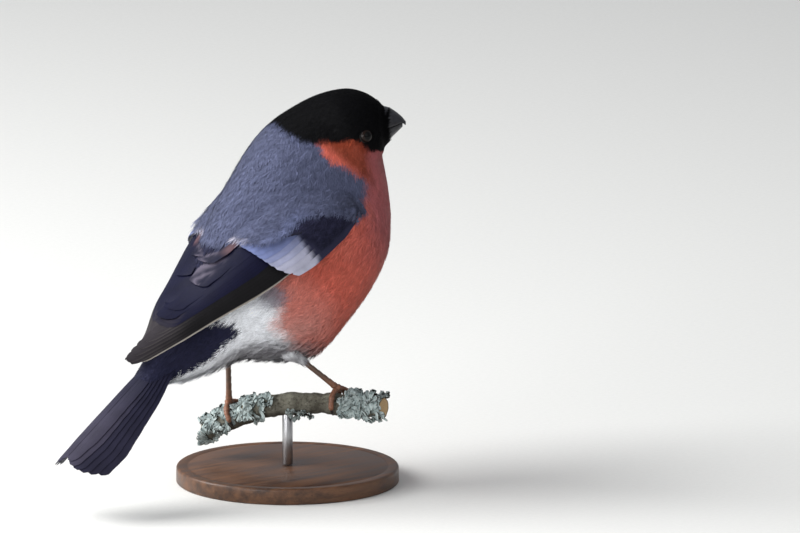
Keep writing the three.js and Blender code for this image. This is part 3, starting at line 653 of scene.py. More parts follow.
# Tufts: a small feather is a short leaf under a fan of fine barbs on each side of its shaft
BARBS = 12  # on each side
BARB_STEPS = vec(0, 0.55, 1)
BARB_WIDTH = 0.055  # half a barb's width, as a share of half the feather's
BARB_STARTS = (0.08, 0.72)  # where the lowest and the highest barb leave the shaft
BARB_ENDS = (0.46, 0.99)  # and how far along the feather they end
LEAF = [(0.0, 0.5), (0.35, 0.72), (0.66, 0.3)]  # how far along, and how wide there
COLOURED_AT = (4, 7)  # the shaft's points where the second and the last row of the leaf are
SIZES = (0.88, 1.12)  # how far the tufts' lengths and widths vary
TURN_SPREAD, BEND_SPREAD = 0.09, 0.06  # how much their turns and bends differ
BARB_SPREAD = 0.07  # how much the lengths and heights of a tuft's barbs differ
FAN_TILT, TIP_TILT = 0.22, 0.08  # how far the normals lean to the sides and to the tip
BARB_TILT = 0.17  # how much that lean differs from barb to barb
SHADES = (0.93, 1.07)  # how far the tufts' colours vary
ROOT_SHADE = 0.78  # how dark they are at the root: their darker bases, and painted shade under the tufts that overlap them
ROOT_SUNK = 0.35  # how far the roots lie under the skin
BAKED_SIZE = 0.003  # of a tuft's patch on the baked map
TUFT_WIDTH = 0.62  # of its length, for the closed small feathers
PIECE_LIMIT = 190_000  # triangles in one piece of the coat


def tuft_template():
    """Points of one tuft as (along, across, edge), each from 0 to 1 or -1 to 1, and its faces."""
    points, quads, triangles = [], [], []
    for row, (u, half) in enumerate(LEAF):
        points += [(u, -half, 0.0), (u, 0.0, 0.0), (u, half, 0.0)]
        if row:
            a = 3 * (row - 1)
            quads += [(a, a + 3, a + 4, a + 1), (a + 1, a + 4, a + 5, a + 2)]
    barbs = [(0.0, 0.5, 1.0)]
    for k in range(BARBS):
        share = (k + 0.5) / BARBS
        start = lerp(*BARB_STARTS, share)
        end = lerp(*BARB_ENDS, share ** 0.8)
        reach = math.cos(0.5 * math.pi * share ** 2) * 0.95 + 0.05
        barbs += [(side * reach, start, end) for side in (-1, 1)]
    for reach, start, end in barbs:
        a = len(points)
        for step in BARB_STEPS:
            along = lerp(start, end, step)
            across = reach * (1 - (1 - step) ** 1.6)
            half = BARB_WIDTH * (1 - 0.35 * step)
            points += [(along, across + off, step) for off in ((0,) if step == 1 else (-half, half))]
        quads.append((a, a + 2, a + 3, a + 1))
        triangles.append((a + 2, a + 4, a + 3))
    return np.array(points), np.array(quads), np.array(triangles)


TUFT_POINTS, TUFT_QUADS, TUFT_TRIANGLES = tuft_template()
LEAF_POINTS = 3 * len(LEAF)
BARB_POINTS = 2 * len(BARB_STEPS) - 1
BARB_OF_POINT = np.maximum(0, 1 + (np.arange(len(TUFT_POINTS)) - LEAF_POINTS) // BARB_POINTS)
TUFT_TRIS = 2 * len(TUFT_QUADS) + len(TUFT_TRIANGLES)


def surface_slopes(surface, a, b):
    """How a surface(a, b, height) runs on with a and with b."""
    step = 0.01
    by_a = (surface(a + step, b, 0) - surface(a - step, b, 0)) / (2 * step)
    by_b = (surface(a, b + step, 0) - surface(a, b - step, 0)) / (2 * step)
    return by_a, by_b


def grow_tufts(surface, roots, turn, length, width, rise, seed, loose=0.1, cup=0.2):
    """Points of tufts on a surface(a, b, height) with their roots at (a, b), the places of these
    points as (a, b), their normals and a number for each tuft. Each lies against the way a grows,
    turned by turn, and its tip stands rise off the surface."""
    rng = np.random.default_rng(seed)
    count = len(roots)
    a, b = roots[:, 0], roots[:, 1]
    by_a, by_b = surface_slopes(surface, a, b)
    outward = surface(a, b, 1) - surface(a, b, 0)
    normal = unit(np.cross(by_a, by_b))
    normal = normal * np.sign((normal * outward).sum(-1, keepdims=True))
    ahead = unit(by_a)
    side = np.cross(normal, ahead)
    turn = turn + rng.normal(0, TURN_SPREAD, count)
    lie = -ahead * np.cos(turn)[:, None] + side * np.sin(turn)[:, None]
    across = np.cross(normal, lie)
    length = length * rng.uniform(*SIZES, count)
    width = width * rng.uniform(*SIZES, count)
    along_u, across_v, edge = TUFT_POINTS.T
    strand = rng.normal(0, 1, (count, BARB_OF_POINT.max() + 1, 3))[:, BARB_OF_POINT]
    x = length[:, None] * (along_u * (1 + BARB_SPREAD * strand[..., 0] * edge))
    bend = rng.normal(0, BEND_SPREAD, count)[:, None] * along_u ** 2
    y = width[:, None] / 2 * (across_v + loose * strand[..., 1] * edge) + x * bend
    arch = 0.3 + 0.7 * smooth(along_u, -0.1, 0.95) - cup * (across_v * (1 - 0.5 * along_u)) ** 2
    height = np.reshape(rise, (-1, 1)) * (arch + BARB_SPREAD * strand[..., 2] * edge)
    height = height - ROOT_SUNK * (1 - along_u) ** 4
    moved = lie[:, None] * x[..., None] + across[:, None] * y[..., None]
    aa, bb, ab = [(p * q).sum(-1) for p, q in ((by_a, by_a), (by_b, by_b), (by_a, by_b))]
    on_a = (moved * by_a[:, None]).sum(-1)
    on_b = (moved * by_b[:, None]).sum(-1)
    scale = (aa * bb - ab * ab)[:, None]
    place_a = a[:, None] + (bb[:, None] * on_a - ab[:, None] * on_b) / scale
    place_b = b[:, None] + (aa[:, None] * on_b - ab[:, None] * on_a) / scale
    points = surface(place_a, place_b, height)
    tilt = across[:, None] * (BARB_TILT * strand[..., 1] + FAN_TILT * across_v)[..., None]
    tilt = tilt + lie[:, None] * (TIP_TILT + TIP_TILT * strand[..., 2])[..., None]
    normals = unit(normal[:, None] + tilt)
    return points, np.stack([place_a, place_b], -1), normals, rng.random(count)


def add_tufts(name, surface, roots, paint, unwrap, material, slot, **shape):
    """Joined tufts as pieces of the coat. paint(a, b) is the plumage's colour at a place, and
    unwrap(roots) the place of each root on the baked map."""
    rng = np.random.default_rng(shape["seed"] + 100)
    points, places, normals, drawn = grow_tufts(surface, roots, **shape)
    along, across, _ = TUFT_POINTS.T
    shade = rng.uniform(*SHADES, (len(roots), 1))
    base, tip = [paint(*places[:, at].T) * shade for at in COLOURED_AT]
    painted = lerp(base[:, None], tip[:, None], smooth(along, 0.25, 0.6)[None, :, None])
    # painted shade: each tuft darker towards its root, under the tufts that overlap it, as well as its
    # darker base
    painted = painted * lerp(ROOT_SHADE, 1.0, smooth(along, 0.1, 0.6))[None, :, None]
    barb = rng.random((len(roots), BARB_OF_POINT.max() + 1))[:, BARB_OF_POINT]
    lie = stacked(along, barb, drawn[:, None])
    patch = stacked(BAKED_SIZE * across / 2, BAKED_SIZE * (0.5 - along))
    baked = unwrap(roots)[:, None] + patch
    size = len(TUFT_POINTS)
    parts = math.ceil(len(roots) * TUFT_TRIS / PIECE_LIMIT)
    for k, chosen in enumerate(np.array_split(np.arange(len(roots)), parts)):
        offsets = (np.arange(len(chosen)) * size)[:, None, None]
        faces = [(TUFT_QUADS + offsets).reshape(-1, 4), (TUFT_TRIANGLES + offsets).reshape(-1, 3)]
        add_mesh(f"{name}_{k + 1}", points[chosen], faces, material, painted[chosen], lie[chosen],
                 baked[chosen], normals[chosen])


def spread(weight, a_range, b_range, cells=(320, 360)):
    """Even places over a surface, where weight(a, b) says how many a unit of each holds."""
    a_edges = np.linspace(*a_range, cells[0] + 1)
    b_edges = np.linspace(*b_range, cells[1] + 1)
    a_mid = (a_edges[1:] + a_edges[:-1]) / 2
    b_mid = (b_edges[1:] + b_edges[:-1]) / 2
    cell = (a_edges[1] - a_edges[0]) * (b_edges[1] - b_edges[0])
    weights = np.maximum(weight(a_mid[:, None], b_mid[None, :]), 1e-9) * cell
    count = int(weights.sum())
    rows = np.concatenate([[0], np.cumsum(weights.sum(1))])
    a = np.interp(halton(count, 2) * rows[-1], rows, a_edges)
    row = np.clip(np.searchsorted(a_edges, a) - 1, 0, cells[0] - 1)
    columns = np.concatenate([np.zeros((cells[0], 1)), np.cumsum(weights, 1)], 1)
    columns /= columns[:, -1:]
    share = halton(count, 3)
    b = np.array([np.interp(x, columns[r], b_edges) for x, r in zip(share, row)])
    order = np.argsort(a)
    return np.stack([a[order], b[order]], -1)


# Wings, on the same half cone as the solids'
WING_FRONT, WING_REAR = vec(12, 0, 52), vec(-66, 0, 12)
CONE_WIDE = [[0, 20.5], [30, 21.8], [60, 11.8], [92, 2.6]]
CONE_HIGH = [[0, 27], [30, 20.5], [60, 6.5], [92, 2.4]]
CONE_LIFT = [[0, 0], [30, 0], [60, 3], [92, 5]]
CONE_LOWEST = [[0, 79], [30, 77], [60, 77], [92, 84]]
# Each wing's side, how far its tips reach, how far these are shifted and where that comes in
WINGS = {
    "left": (1, 0.935, vec(1.5, -2.6, -2.6), (57, 75)),
    "right": (-1, 1.0, vec(0, -1.2, 0), (5, 85)),
}
WING_ALONG = unit(WING_REAR - WING_FRONT)
WING_SCALE = np.linalg.norm(WING_REAR - WING_FRONT) / WING_LENGTH
WING_UP = vec(WING_ALONG[2], 0, -WING_ALONG[0])


def wing_point(p, q, h, side):
    """Points p along the folded wing, q up from its lower edge and h off its cone."""
    sign, _, shift, bend = WINGS[side]
    p, q, h = arrays(p, q, h)
    wide, high = through(CONE_WIDE, p), through(CONE_HIGH, p)
    turn = np.radians(through(CONE_LOWEST, p)) - q / ((wide + high) / 2 + 1.5)
    out = WING_FRONT + WING_ALONG * (p * WING_SCALE)[..., None]
    out = out + WING_UP * (through(CONE_LIFT, p) + (high + h) * np.cos(turn))[..., None]
    out[..., 1] += sign * (wide + h) * np.sin(turn)
    return out + shift * smooth(p, *bend)[..., None]


SHIELD_FROM, SHIELD_TO, SHIELD_HIGH = -6.0, 38.0, 26.0
SHIELD_SUNK = {"left": 1.6, "right": 1.3}  # how far the shoulder feathers' skin lies under the solids
# How far along the wing its grey feathers reach, p by q
MANTLE_END = [[10, 18], [11, 24], [12, 31], [13, 34.5], [15, 36.2], [18, 37.5], [21, 38.2], [26, 39]]
# The upper edge of the wing's black patch, q by p
BLACK_TOP = [[-2, -1], [4, 0.2], [6, 1.8], [8, 4.4], [12, 7.4], [16, 9.8], [18.5, 10.8], [21, 11],
             [40, 11.5]]


def black_patch_top(p):
    return through(BLACK_TOP, np.clip(p, -2, 40))


def shield_end(v):
    """How far along the wing its grey and black small feathers reach, v up its height."""
    return lerp(1, 37, smooth(v, -0.15, 0.68)) + 4 * smooth(v, 0.6, 1)


def shield_height(p, q):
    """Height of the lesser coverts and shoulder feathers off the wing's cone."""
    v = np.clip(q / SHIELD_HIGH, 0, 1)
    u = np.clip((p - SHIELD_FROM) / (shield_end(v) - SHIELD_FROM), 0, 1.3)
    front = smooth(u, -0.05, 0.4)
    below = lerp(0.7, 1, smooth(v, 0, 0.12))
    above = 2 * smooth(v, 0.25, 0.6) + 2 * smooth(v, 0.6, 1)
    return 1 + (4.4 - above - 0.7 * smooth(u, 0.4, 1) * smooth(v, 0.3, 0.6)) * front * below


VANE = 0.12  # thickness of a flight feather
SHAFT_RIDGE, SHAFT_HALF = 0.08, 0.05  # its shaft's height, and half-width as a share of its own
FRAYED = 0.025  # how much its edge wanders
SHAFT_COLUMNS = vec(-1, -0.8, -0.55, -0.3, -0.1, -0.035, 0, 0.035, 0.1, 0.3, 0.55, 0.8, 1)


def vane(place, rows, outline, colour, seed):
    """A closed feather vane: place(u, across, height) gives its points, outline(u) its half-widths
    below and above the shaft, and colour(u, v) its colour."""
    u = (np.linspace(0, 1, rows) ** 0.9)[:, None]
    v = SHAFT_COLUMNS
    frayed = 1 + FRAYED * noise(stacked(u * 40, seed * 7.3), 1.0, seed)
    across = v * (np.where(v < 0, *outline(u)) * frayed)
    ridge = SHAFT_RIDGE * np.exp(-((v / SHAFT_HALF) ** 2)) * (1 - 0.7 * u)
    body = VANE / 2 * (1 - 0.6 * np.abs(v) ** 3) + ridge
    top = place(u, across, body)
    bottom = place(u, across, -body)
    points, faces = thin_sheet(top, bottom)
    normals = unit(np.cross(np.gradient(top, axis=0), np.gradient(top, axis=1)))
    normals = (normals * np.sign((normals * (top - bottom)).sum(-1, keepdims=True))).reshape(-1, 3)
    painted = colour(*arrays(u, v)).reshape(-1, 3)
    run = np.linalg.norm(place(vec(1), vec(0), vec(0)) - place(vec(0), vec(0), vec(0)))
    lie = stacked(u * run, across, seed % 7 / 7).reshape(-1, 3)
    both = [np.concatenate(pair) for pair in ((painted, painted), (lie, lie), (normals, -normals))]
    return points, faces, *both


def add_vanes(name, parts, material):
    points, faces, colours, lie, normals = joined(parts)
    return add_mesh(name, points, faces, material, colours, lie, normals=normals)


def feather_outline(wide, outer_share, tip):
    """Half-widths from a quill to a rounded tip."""
    def outline(u):
        grown = lerp(0.35, 1, smooth(u, 0, 0.35))
        rounded = lerp(1, tip, smooth(u, 0.72, 0.97)) * np.sqrt(np.clip((1.004 - u) / 0.045, 0, 1))
        both = wide * grown * rounded
        return both * outer_share, both * (1 - outer_share)
    return outline


def wing_vane(side, root, tip, wide, outer, blunt, h, lean, colour, seed, rows=40):
    """A vane from root to tip, both (p, q), where h is its height off the cone at each of them."""
    tip_p = root[0] + (tip[0] - root[0]) * WINGS[side][1]

    def place(u, across, height):
        p = lerp(root[0], tip_p, u)
        q = lerp(root[1], tip[1], u) + across
        return wing_point(p, q, lerp(h[0], h[1], u) - lean * across + height, side)

    return vane(place, rows, feather_outline(wide, outer, blunt), colour, seed=seed)


# Rows of flight feathers, each from its outermost in: how many, the p and the span of q of their
# roots, the place of their tips as (share of the row, p, q), and their shape
FLIGHT_ROWS = {
    "primaries": {
        "count": 7,
        "roots": (25, 1.6, 8.8),
        "tips": [[0, 84, 1], [0.25, 87.5, 2.4], [0.5, 84.5, 4.1], [0.75, 79.5, 5.7], [1, 74, 7]],
        "shape": dict(wide=5.5, outer=0.3, blunt=0.78, h=(0.9, 1.3), lean=0.1),
    },
    "secondaries": {
        "count": 5,
        "roots": (25, 9.2, 14.0),
        "tips": [[0, 70, 7.6], [0.5, 66.5, 9], [1, 63.5, 10.2]],
        "shape": dict(wide=9.0, outer=0.26, blunt=0.9, h=(0.9, 1.3), lean=0.09),
    },
    "tertials": {
        "count": 4,
        "roots": (26, 15.5, 23.5),
        "tips": [[0, 67.5, 10.4], [0.33, 63.5, 11.6], [0.66, 53, 13.8], [1, 45.5, 20]],
        "shape": dict(wide=9.4, outer=0.34, blunt=0.8, h=(-0.4, 1.6), lean=0.07),
    },
}
WING_BLACK = rgb(9, 10, 34)
PRIMARY_BLACK = rgb(17, 16, 18)
COVERT_BLACK = rgb(42, 42, 62)
WING_BROWN = rgb(47, 43, 47)
TAIL_BLACK = rgb(27, 27, 44)
PALE_EDGE = rgb(152, 146, 138)
WEAR_AND_SHEEN = rgb(92, 86, 100)
WEB_RED = rgb(112, 84, 86)
BAR_WHITE = rgb(170, 170, 188)
BAR_BLUE = rgb(98, 108, 148)
WEAR_AND_SHEEN_FROM = {"left": 3, "right": 2}  # the first of each wing's tertials whose tips show wear and painted sheen


def flight_colour(row, order, side):
    """Blue-black with brown at the tips, a pale outer edge on the first and worn tips with painted sheen
    on the last.
    """
    def colour(u, v):
        out = even(PRIMARY_BLACK if row == "primaries" else WING_BLACK, u)
        if row == "primaries":
            out = blended(out, WING_BROWN, 0.8 * smooth(u, 0.6, 0.95))
            edge = smooth(v, -0.66, -0.8) * (0.9 if order == 0 else 0.05 * smooth(u, 0.6, 0.9))
            return blended(out, PALE_EDGE, edge)
        if row == "secondaries":
            return blended(out, WING_BROWN, 0.5 * smooth(u, 0.9, 1))
        if order >= WEAR_AND_SHEEN_FROM[side]:
            # worn tips, partly painted sheen where the light catches the tertials
            streaks = noise(stacked(14 * u - 4 * np.abs(v), 3 * v + order), 1.0, order)
            wear_and_sheen = smooth(u, 0.5, 0.75) * smooth(v, -0.4, 0.2) * smooth(streaks, -0.9, 0.4)
            out = blended(out, WEAR_AND_SHEEN, 0.8 * wear_and_sheen)
        if order == 3:
            out = blended(out, WEB_RED, 0.5 * smooth(u, 0.85, 0.65) * smooth(v, 0, -0.5))
        return out
    return colour


def flight_feathers(side):
    parts = []
    for r, (name, row) in enumerate(FLIGHT_ROWS.items()):
        p, low, high = row["roots"]
        for i in range(row["count"]):
            share = i / (row["count"] - 1)
            root, tip = (p, lerp(low, high, share)), through(row["tips"], share)
            colour = flight_colour(name, i, side)
            parts.append(wing_vane(side, root, tip, **row["shape"], colour=colour, seed=10 * r + i))
    return parts


# Greater coverts, from the lowest, at a share of 0, to the highest, at 1
COVERTS = 9
COVERT_ROOTS = (-2, 22)  # p of the lowest one's root and of the highest one's
COVERT_ENDS = [[0, 31.5], [0.2, 34.3], [0.5, 35.7], [0.75, 36.2], [1, 36.5]]  # p of their tips
BAR_START = 20.8  # where the pale bar begins along the wing


def covert_colour(share):
    """Black with a broad pale tip, whiter towards the wing's lower edge."""
    def colour(u, v):
        pale = lerp(BAR_WHITE, BAR_BLUE, smooth(share, 0.1, 0.7))
        root_p = lerp(*COVERT_ROOTS, share)
        tip_p = lerp(COVERT_ENDS[0][1], COVERT_ENDS[-1][1], share)
        begins = (BAR_START - root_p) / (tip_p - root_p)
        return blended(COVERT_BLACK, pale, smooth(u - 0.04 * v ** 2, begins - 0.03, begins + 0.05))
    return colour


def greater_coverts(side):
    parts = []
    for i in range(COVERTS):
        share = i / (COVERTS - 1)
        root = (lerp(*COVERT_ROOTS, share), lerp(1.2, 17, share))
        tip = (through(COVERT_ENDS, share), lerp(1.2, 16.2, share))
        h = (lerp(3.4, 1.0, share), lerp(3.6, 1.7, share))
        colour = covert_colour(share)
        parts.append(wing_vane(side, root, tip, 5.2, 0.45, 0.8, h, 0.2, colour, 40 + i, rows=28))
    return parts


def add_wing(side, material):
    parts = flight_feathers(side) + greater_coverts(side)
    piece = add_vanes(f"flight_feathers_{side}", parts, material)
    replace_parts(piece, f"wing_{side}")


def wing_skin(side):
    """The skin under the lesser coverts, its rim sunk into the body."""
    rows, columns = 40, 36
    u = np.linspace(0, 1, rows)[:, None]
    v = np.linspace(0, 1, columns)
    q = v * SHIELD_HIGH
    p = lerp(SHIELD_FROM, shield_end(v), u)
    rim = smooth(u, 0, 0.08) * smooth(u, 1, 0.92) * smooth(v, 0, 0.06) * smooth(v, 1, 0.94)
    top = wing_point(p, q, lerp(-1.5, shield_height(p, q) - SHIELD_SUNK[side] - 0.1, rim), side)
    colours = np.where((q < black_patch_top(p))[..., None], COVERT_BLACK, GREY)
    return top.reshape(-1, 3), grid_faces(rows, columns), colours.reshape(-1, 3)


# Tail
TAIL_ROOT = vec(-45.8, 0, 19.8)
TAIL_PITCH = math.radians(36)
TAIL_ALONG = vec(-math.cos(TAIL_PITCH), 0, -math.sin(TAIL_PITCH))
TAIL_UP = vec(TAIL_ALONG[2], 0, -TAIL_ALONG[0])
TAIL_BURIED, TAIL_ARCH = 13.0, 0.055
TAIL_PAIRS, TAIL_TOP, TAIL_STEP = 6, 1.7, 0.3


def tail_point(p, y, h):
    """Points p along the tail, y to its left and h off its arched top."""
    p, y, h = arrays(p, y, h)
    out = TAIL_ROOT + TAIL_ALONG * p[..., None] + TAIL_UP * (h - TAIL_ARCH * y * y)[..., None]
    out[..., 1] += y
    return out


def tail_vane(side, order):
    """One feather of the tail, by its order from the middle out."""
    length = TAIL_LENGTH - TAIL_BURIED - 0.36 * (order - 1.9) ** 2
    top = TAIL_TOP - TAIL_STEP * order

    def shaft(u):
        return lerp(0.9 + 0.56 * order, 1.9 + 1.48 * order, u)

    def outline(u):
        grown = lerp(0.5, 1, smooth(u, 0, 0.4)) * lerp(1, 0.62, smooth(u, 0.75, 0.98))
        grown = grown * np.sqrt(np.clip((1.004 - u) / 0.05, 0, 1))
        return 3 * grown, np.minimum(4.6 * grown, np.maximum(shaft(u) - 0.1, 0.05))

    def place(u, across, height):
        return tail_point(0.8 + u * length, side * (shaft(u) - across), top + height)

    def colour(u, _):
        # painted sheen on the lit top of the tail, strongest on the middle feathers, with some wear
        return blended(TAIL_BLACK, WEAR_AND_SHEEN, 0.22 * smooth(u, 0.2, 0.8) * (1 if order < 2 else 0.3))

    return vane(place, 44, outline, colour, 60 + order)


# Head
EYE_STATION, EYE_TURN, EYE_DEPTH = STATION["crown"] + 0.5, math.radians(95), 1.6
EYE_BACK = 2.2  # how far round from the front of the eyeball its surface runs, in radians
CORNEA_RISE, CORNEA_HALF = 0.03, 0.7  # how far its front bulges for its radius, and the angle of that
LID_RADIUS, LID_THICK, LID_RISE = 2.1, 0.22, 0.85


def eye_place(side):
    """The centre of an eye and the direction it looks in."""
    turn = EYE_TURN * side
    near = 0.1
    along = body_point(EYE_STATION + near, turn) - body_point(EYE_STATION - near, turn)
    around = body_point(EYE_STATION, turn + near * side) - body_point(EYE_STATION, turn - near * side)
    outward = unit(np.cross(along, around) * side)
    return body_point(EYE_STATION, turn) - outward * EYE_DEPTH, outward, unit(along)


def add_eye(name, side, material, lid_material):
    centre, outward, ahead = eye_place(side)
    up = np.cross(outward, ahead)
    rows, columns = 40, 56
    polar = np.linspace(0.02, EYE_BACK, rows)[:, None]
    turn = turns(columns)[:, None]
    round_it = np.cos(turn) * ahead + np.sin(turn) * up
    domed = EYE_RADIUS * (1 + CORNEA_RISE * np.exp(-((polar / CORNEA_HALF) ** 2)))[..., None]
    rings = centre + domed * (np.cos(polar)[..., None] * outward + np.sin(polar)[..., None] * round_it)
    points, faces = loft(rings)
    from_axis = np.concatenate([np.repeat(np.sin(polar[:, 0]) + (polar[:, 0] > 1.57), columns), [0, 2]])
    ball = add_mesh(f"eyeball_{name}", points, faces, material, lie=stacked(from_axis, 0, 0))
    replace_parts(ball, f"eye_{name}")
    rows, columns = 64, 14
    ring, tube = turns(rows)[:, None], turns(columns)
    beads = LID_THICK * (1 + 0.1 * np.sin(ring * 27) + 0.05 * np.sin(ring * 13 + 1))
    around = np.cos(ring) * ahead * 1.04 + np.sin(ring) * up * 0.94
    radius = LID_RADIUS + np.cos(tube) * beads
    rise = LID_RISE + np.sin(tube) * beads
    points = centre + around[:, None] * radius[..., None] + outward * rise[..., None]
    faces = grid_faces(rows, columns, closed=True, looped=True)
    add_mesh(f"eyelid_{name}", points, faces, lid_material, colours=even(LID, radius))


# Along the middle of the bill: x, ridge, mouth line, lower edge and half-width
BILL_PROFILE = [
    [30.6, 87.6, 80.4, 74.9, 4.7],
    [32.4, 87.8, 81.2, 76.0, 4.6],
    [34.2, 87.2, 81.9, 77.8, 4.1],
    [36.2, 85.9, 82.5, 79.8, 3.0],
    [37.8, 84.5, 82.9, 81.4, 1.8],
    [38.9, 83.2, 82.0, 82.2, 0.7],
]
MOUTH_LINE = 0.12  # half the slit between the two halves
LOWER_SHARE = 0.94  # the lower half's width against the upper's
BILL_FULLNESS = 0.85  # the power of the half round, 1 is a half ellipse
NOSTRIL_X, NOSTRIL_Z, NOSTRIL_RADIUS = 34.2, 86.2, 0.55
NOSTRIL_DEEP = 0.12  # of the bill's half-width


def bill_half(upper):
    """Points, faces and Lie of the upper or the lower half of the bill."""
    rows, sides = 48, 40
    end = BILL_PROFILE[-1][0] if upper else BILL_PROFILE[-2][0] + 0.1
    x = lerp(BILL_PROFILE[0][0], end, np.linspace(0, 1, rows) ** 0.9)
    ridge, mouth, keel, wide = np.moveaxis(through(BILL_PROFILE, x), -1, 0)
    turn = np.linspace(0, np.pi, sides)
    edge = mouth + MOUTH_LINE if upper else mouth - MOUTH_LINE
    high = ridge - edge if upper else keel - edge
    broad = wide if upper else wide * LOWER_SHARE
    rounded = np.sin(turn)[None] ** BILL_FULLNESS
    across = broad[:, None] * np.cos(turn)[None]
    height = edge[:, None] + high[:, None] * rounded
    if upper:
        pit = np.hypot(x[:, None] - NOSTRIL_X, height - NOSTRIL_Z)
        across = across * (1 - NOSTRIL_DEEP * np.exp(-((pit / NOSTRIL_RADIUS) ** 2)))
    rings = on_head(x[:, None], across, height)
    points, faces = loft(rings)
    return points, faces, with_hubs(stacked(x[:, None], across, height))


# Branch and legs
PERCH_LINE = [[-28, -11.4], [-20, -6.9], [-10, -2.5], [0, 0], [10, 1.2], [20, 1.8], [33, 2.1]]
PERCH_HEADING = vec(0.385, -0.923, 0)
PERCH_FATTEST = 1.09  # its largest radius against PERCH_RADIUS
BARK_SUNK = 0.22  # how far the bark's grooves lie below the branch's radius
BARK_RIDGES, FINE_RIDGES, BARK_SWELL = 0.30, 0.16, 0.25  # heights of its ridges and lumps
GRIP = 17.6  # from the middle of the bird to a foot, along the branch
# Each leg: its place along the branch, the top of its shin, and how far down its feathers grow
LEGS = {"left": (-GRIP, vec(-13.6, 12, 16), 4.5), "right": (GRIP, vec(-9.5, -12.2, 16.8), 7.0)}
# Each toe: its turns round the branch at its root and tip, how far it spreads, and how thick it is
TOES = [
    ((0.1, 2.1), -2.6, 0.92),
    ((0.1, 2.35), 0.1, 1.0),
    ((0.1, 2.1), 2.7, 0.92),
    ((-0.1, -2.2), 0.0, 1.05),
]
# Thickness along a toe with its claw, and along a shin
TOE_JOINTS = [[0, 1.05], [0.14, 0.95], [0.28, 0.9], [0.42, 1.0], [0.57, 0.84], [0.68, 0.92],
              [0.74, 0.8], [0.78, 0.62], [0.9, 0.42], [1, 0.06]]
SHIN_JOINTS = [[0, 1.05], [0.15, 0.92], [0.5, 0.86], [0.8, 0.98], [1, 1.3]]
CLAW_FROM = 0.77  # where along a toe its claw begins
TOE_ARCH = 0.25  # how far a toe rises off the branch midway
BALL_HALF = 1.05  # half the length of the ball that the toes meet in
SHIN_LIE = -1.0  # in the place of a shin's horn, to make it greyer than the toes


def perch_point(q):
    """The middle of the branch, q along it from under the bird."""
    q = np.asarray(q, float)
    inside = np.clip(q, PERCH_LINE[0][0], PERCH_LINE[-1][0])
    z = through(PERCH_LINE, inside) - PERCH_RADIUS
    return q[..., None] * PERCH_HEADING + stacked(0, 0, z)


def perch_frame(q):
    """Directions along the branch, level across it and up from it."""
    along = unit(perch_point(np.asarray(q) + 0.5) - perch_point(np.asarray(q) - 0.5))
    level = unit(stacked(along[..., 1], -along[..., 0], 0))
    return along, level, unit(np.cross(level, along))


def perch_radius(q):
    return PERCH_RADIUS * (1 + 0.05 * np.sin(q * 0.9) + 0.04 * np.sin(q * 0.37 + 1))


def bark_point(q, turn):
    """Points on the branch's bark, turn from its level side up and over, and the way out of it."""
    _, level, up = perch_frame(q)
    q, turn = arrays(q, turn)
    wrapped = np.stack([q, np.cos(turn) * PERCH_RADIUS, np.sin(turn) * PERCH_RADIUS], -1)
    ridged = BARK_RIDGES * np.abs(noise(wrapped * vec(0.45, 1, 1), 1.5, 5))
    ridged = ridged + FINE_RIDGES * noise(wrapped, 0.8, 6)
    swell = BARK_SWELL * noise(wrapped, 4.5, 7)
    radius = perch_radius(q) - BARK_SUNK + ridged + swell
    outward = np.cos(turn)[..., None] * level + np.sin(turn)[..., None] * up
    return perch_point(q) + radius[..., None] * outward, outward


def add_perch(bark, cut):
    rows, sides, rings = 300, 96, 12
    q = np.linspace(PERCH_LINE[0][0], PERCH_LINE[-1][0], rows)[:, None]
    turn = turns(sides)
    points, outward = bark_point(q, turn)
    faces = grid_faces(rows, sides, closed=True)
    wall = add_mesh("branch_bark", points, faces, bark, lie=stacked(q, turn, outward[..., 2]))
    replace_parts(wall, "perch")
    for name, rim in (("lower", points[0]), ("upper", points[-1])):
        from_centre = (rim - rim.mean(0)) * np.linspace(1, 0, rings)[:, None, None]
        lie = stacked(np.linalg.norm(from_centre, axis=-1), 0, 0)
        faces = grid_faces(rings, sides, closed=True)
        add_mesh(f"branch_end_{name}", rim.mean(0) + from_centre, faces, cut, lie=lie)


def leg_places(grip, ankle):
    """A function for places round the branch at a foot, the radius at which its toes lie, the
    root of the toes and the way up the shin."""
    along, level, up = perch_frame(grip)
    middle = perch_point(grip)
    grasp = PERCH_RADIUS * PERCH_FATTEST + TOE_RADIUS + GAP

    def around(turn, radius, shift):
        turn, radius, shift = [value[..., None] for value in arrays(turn, radius, shift)]
        return middle - level * radius * np.sin(turn) + up * radius * np.cos(turn) + along * shift

    root = around(-0.12, grasp + 0.4, 0)
    return around, grasp, root, unit(ankle - root)


def scaled_limb(points, radii, plates, depth=0.1, claw=None):
    """A limb with overlapping plates along its front, as points, faces and the Lie of each point."""
    u = np.linspace(0, 1, len(points))[:, None]
    turn = turns(20)
    plate = depth * ((u * plates) % 1 - 0.45) * np.clip(0.3 + np.cos(turn), 0.12, 1.2)
    horn = 0
    if claw is not None:
        plate = plate * smooth(u, claw, claw - 0.05)
        horn = smooth(u, claw - 0.02, claw + 0.03)
    points, faces = loft(tube_rings(points, radii[:, None] + plate))
    return points, faces, with_hubs(stacked(u, horn, turn))


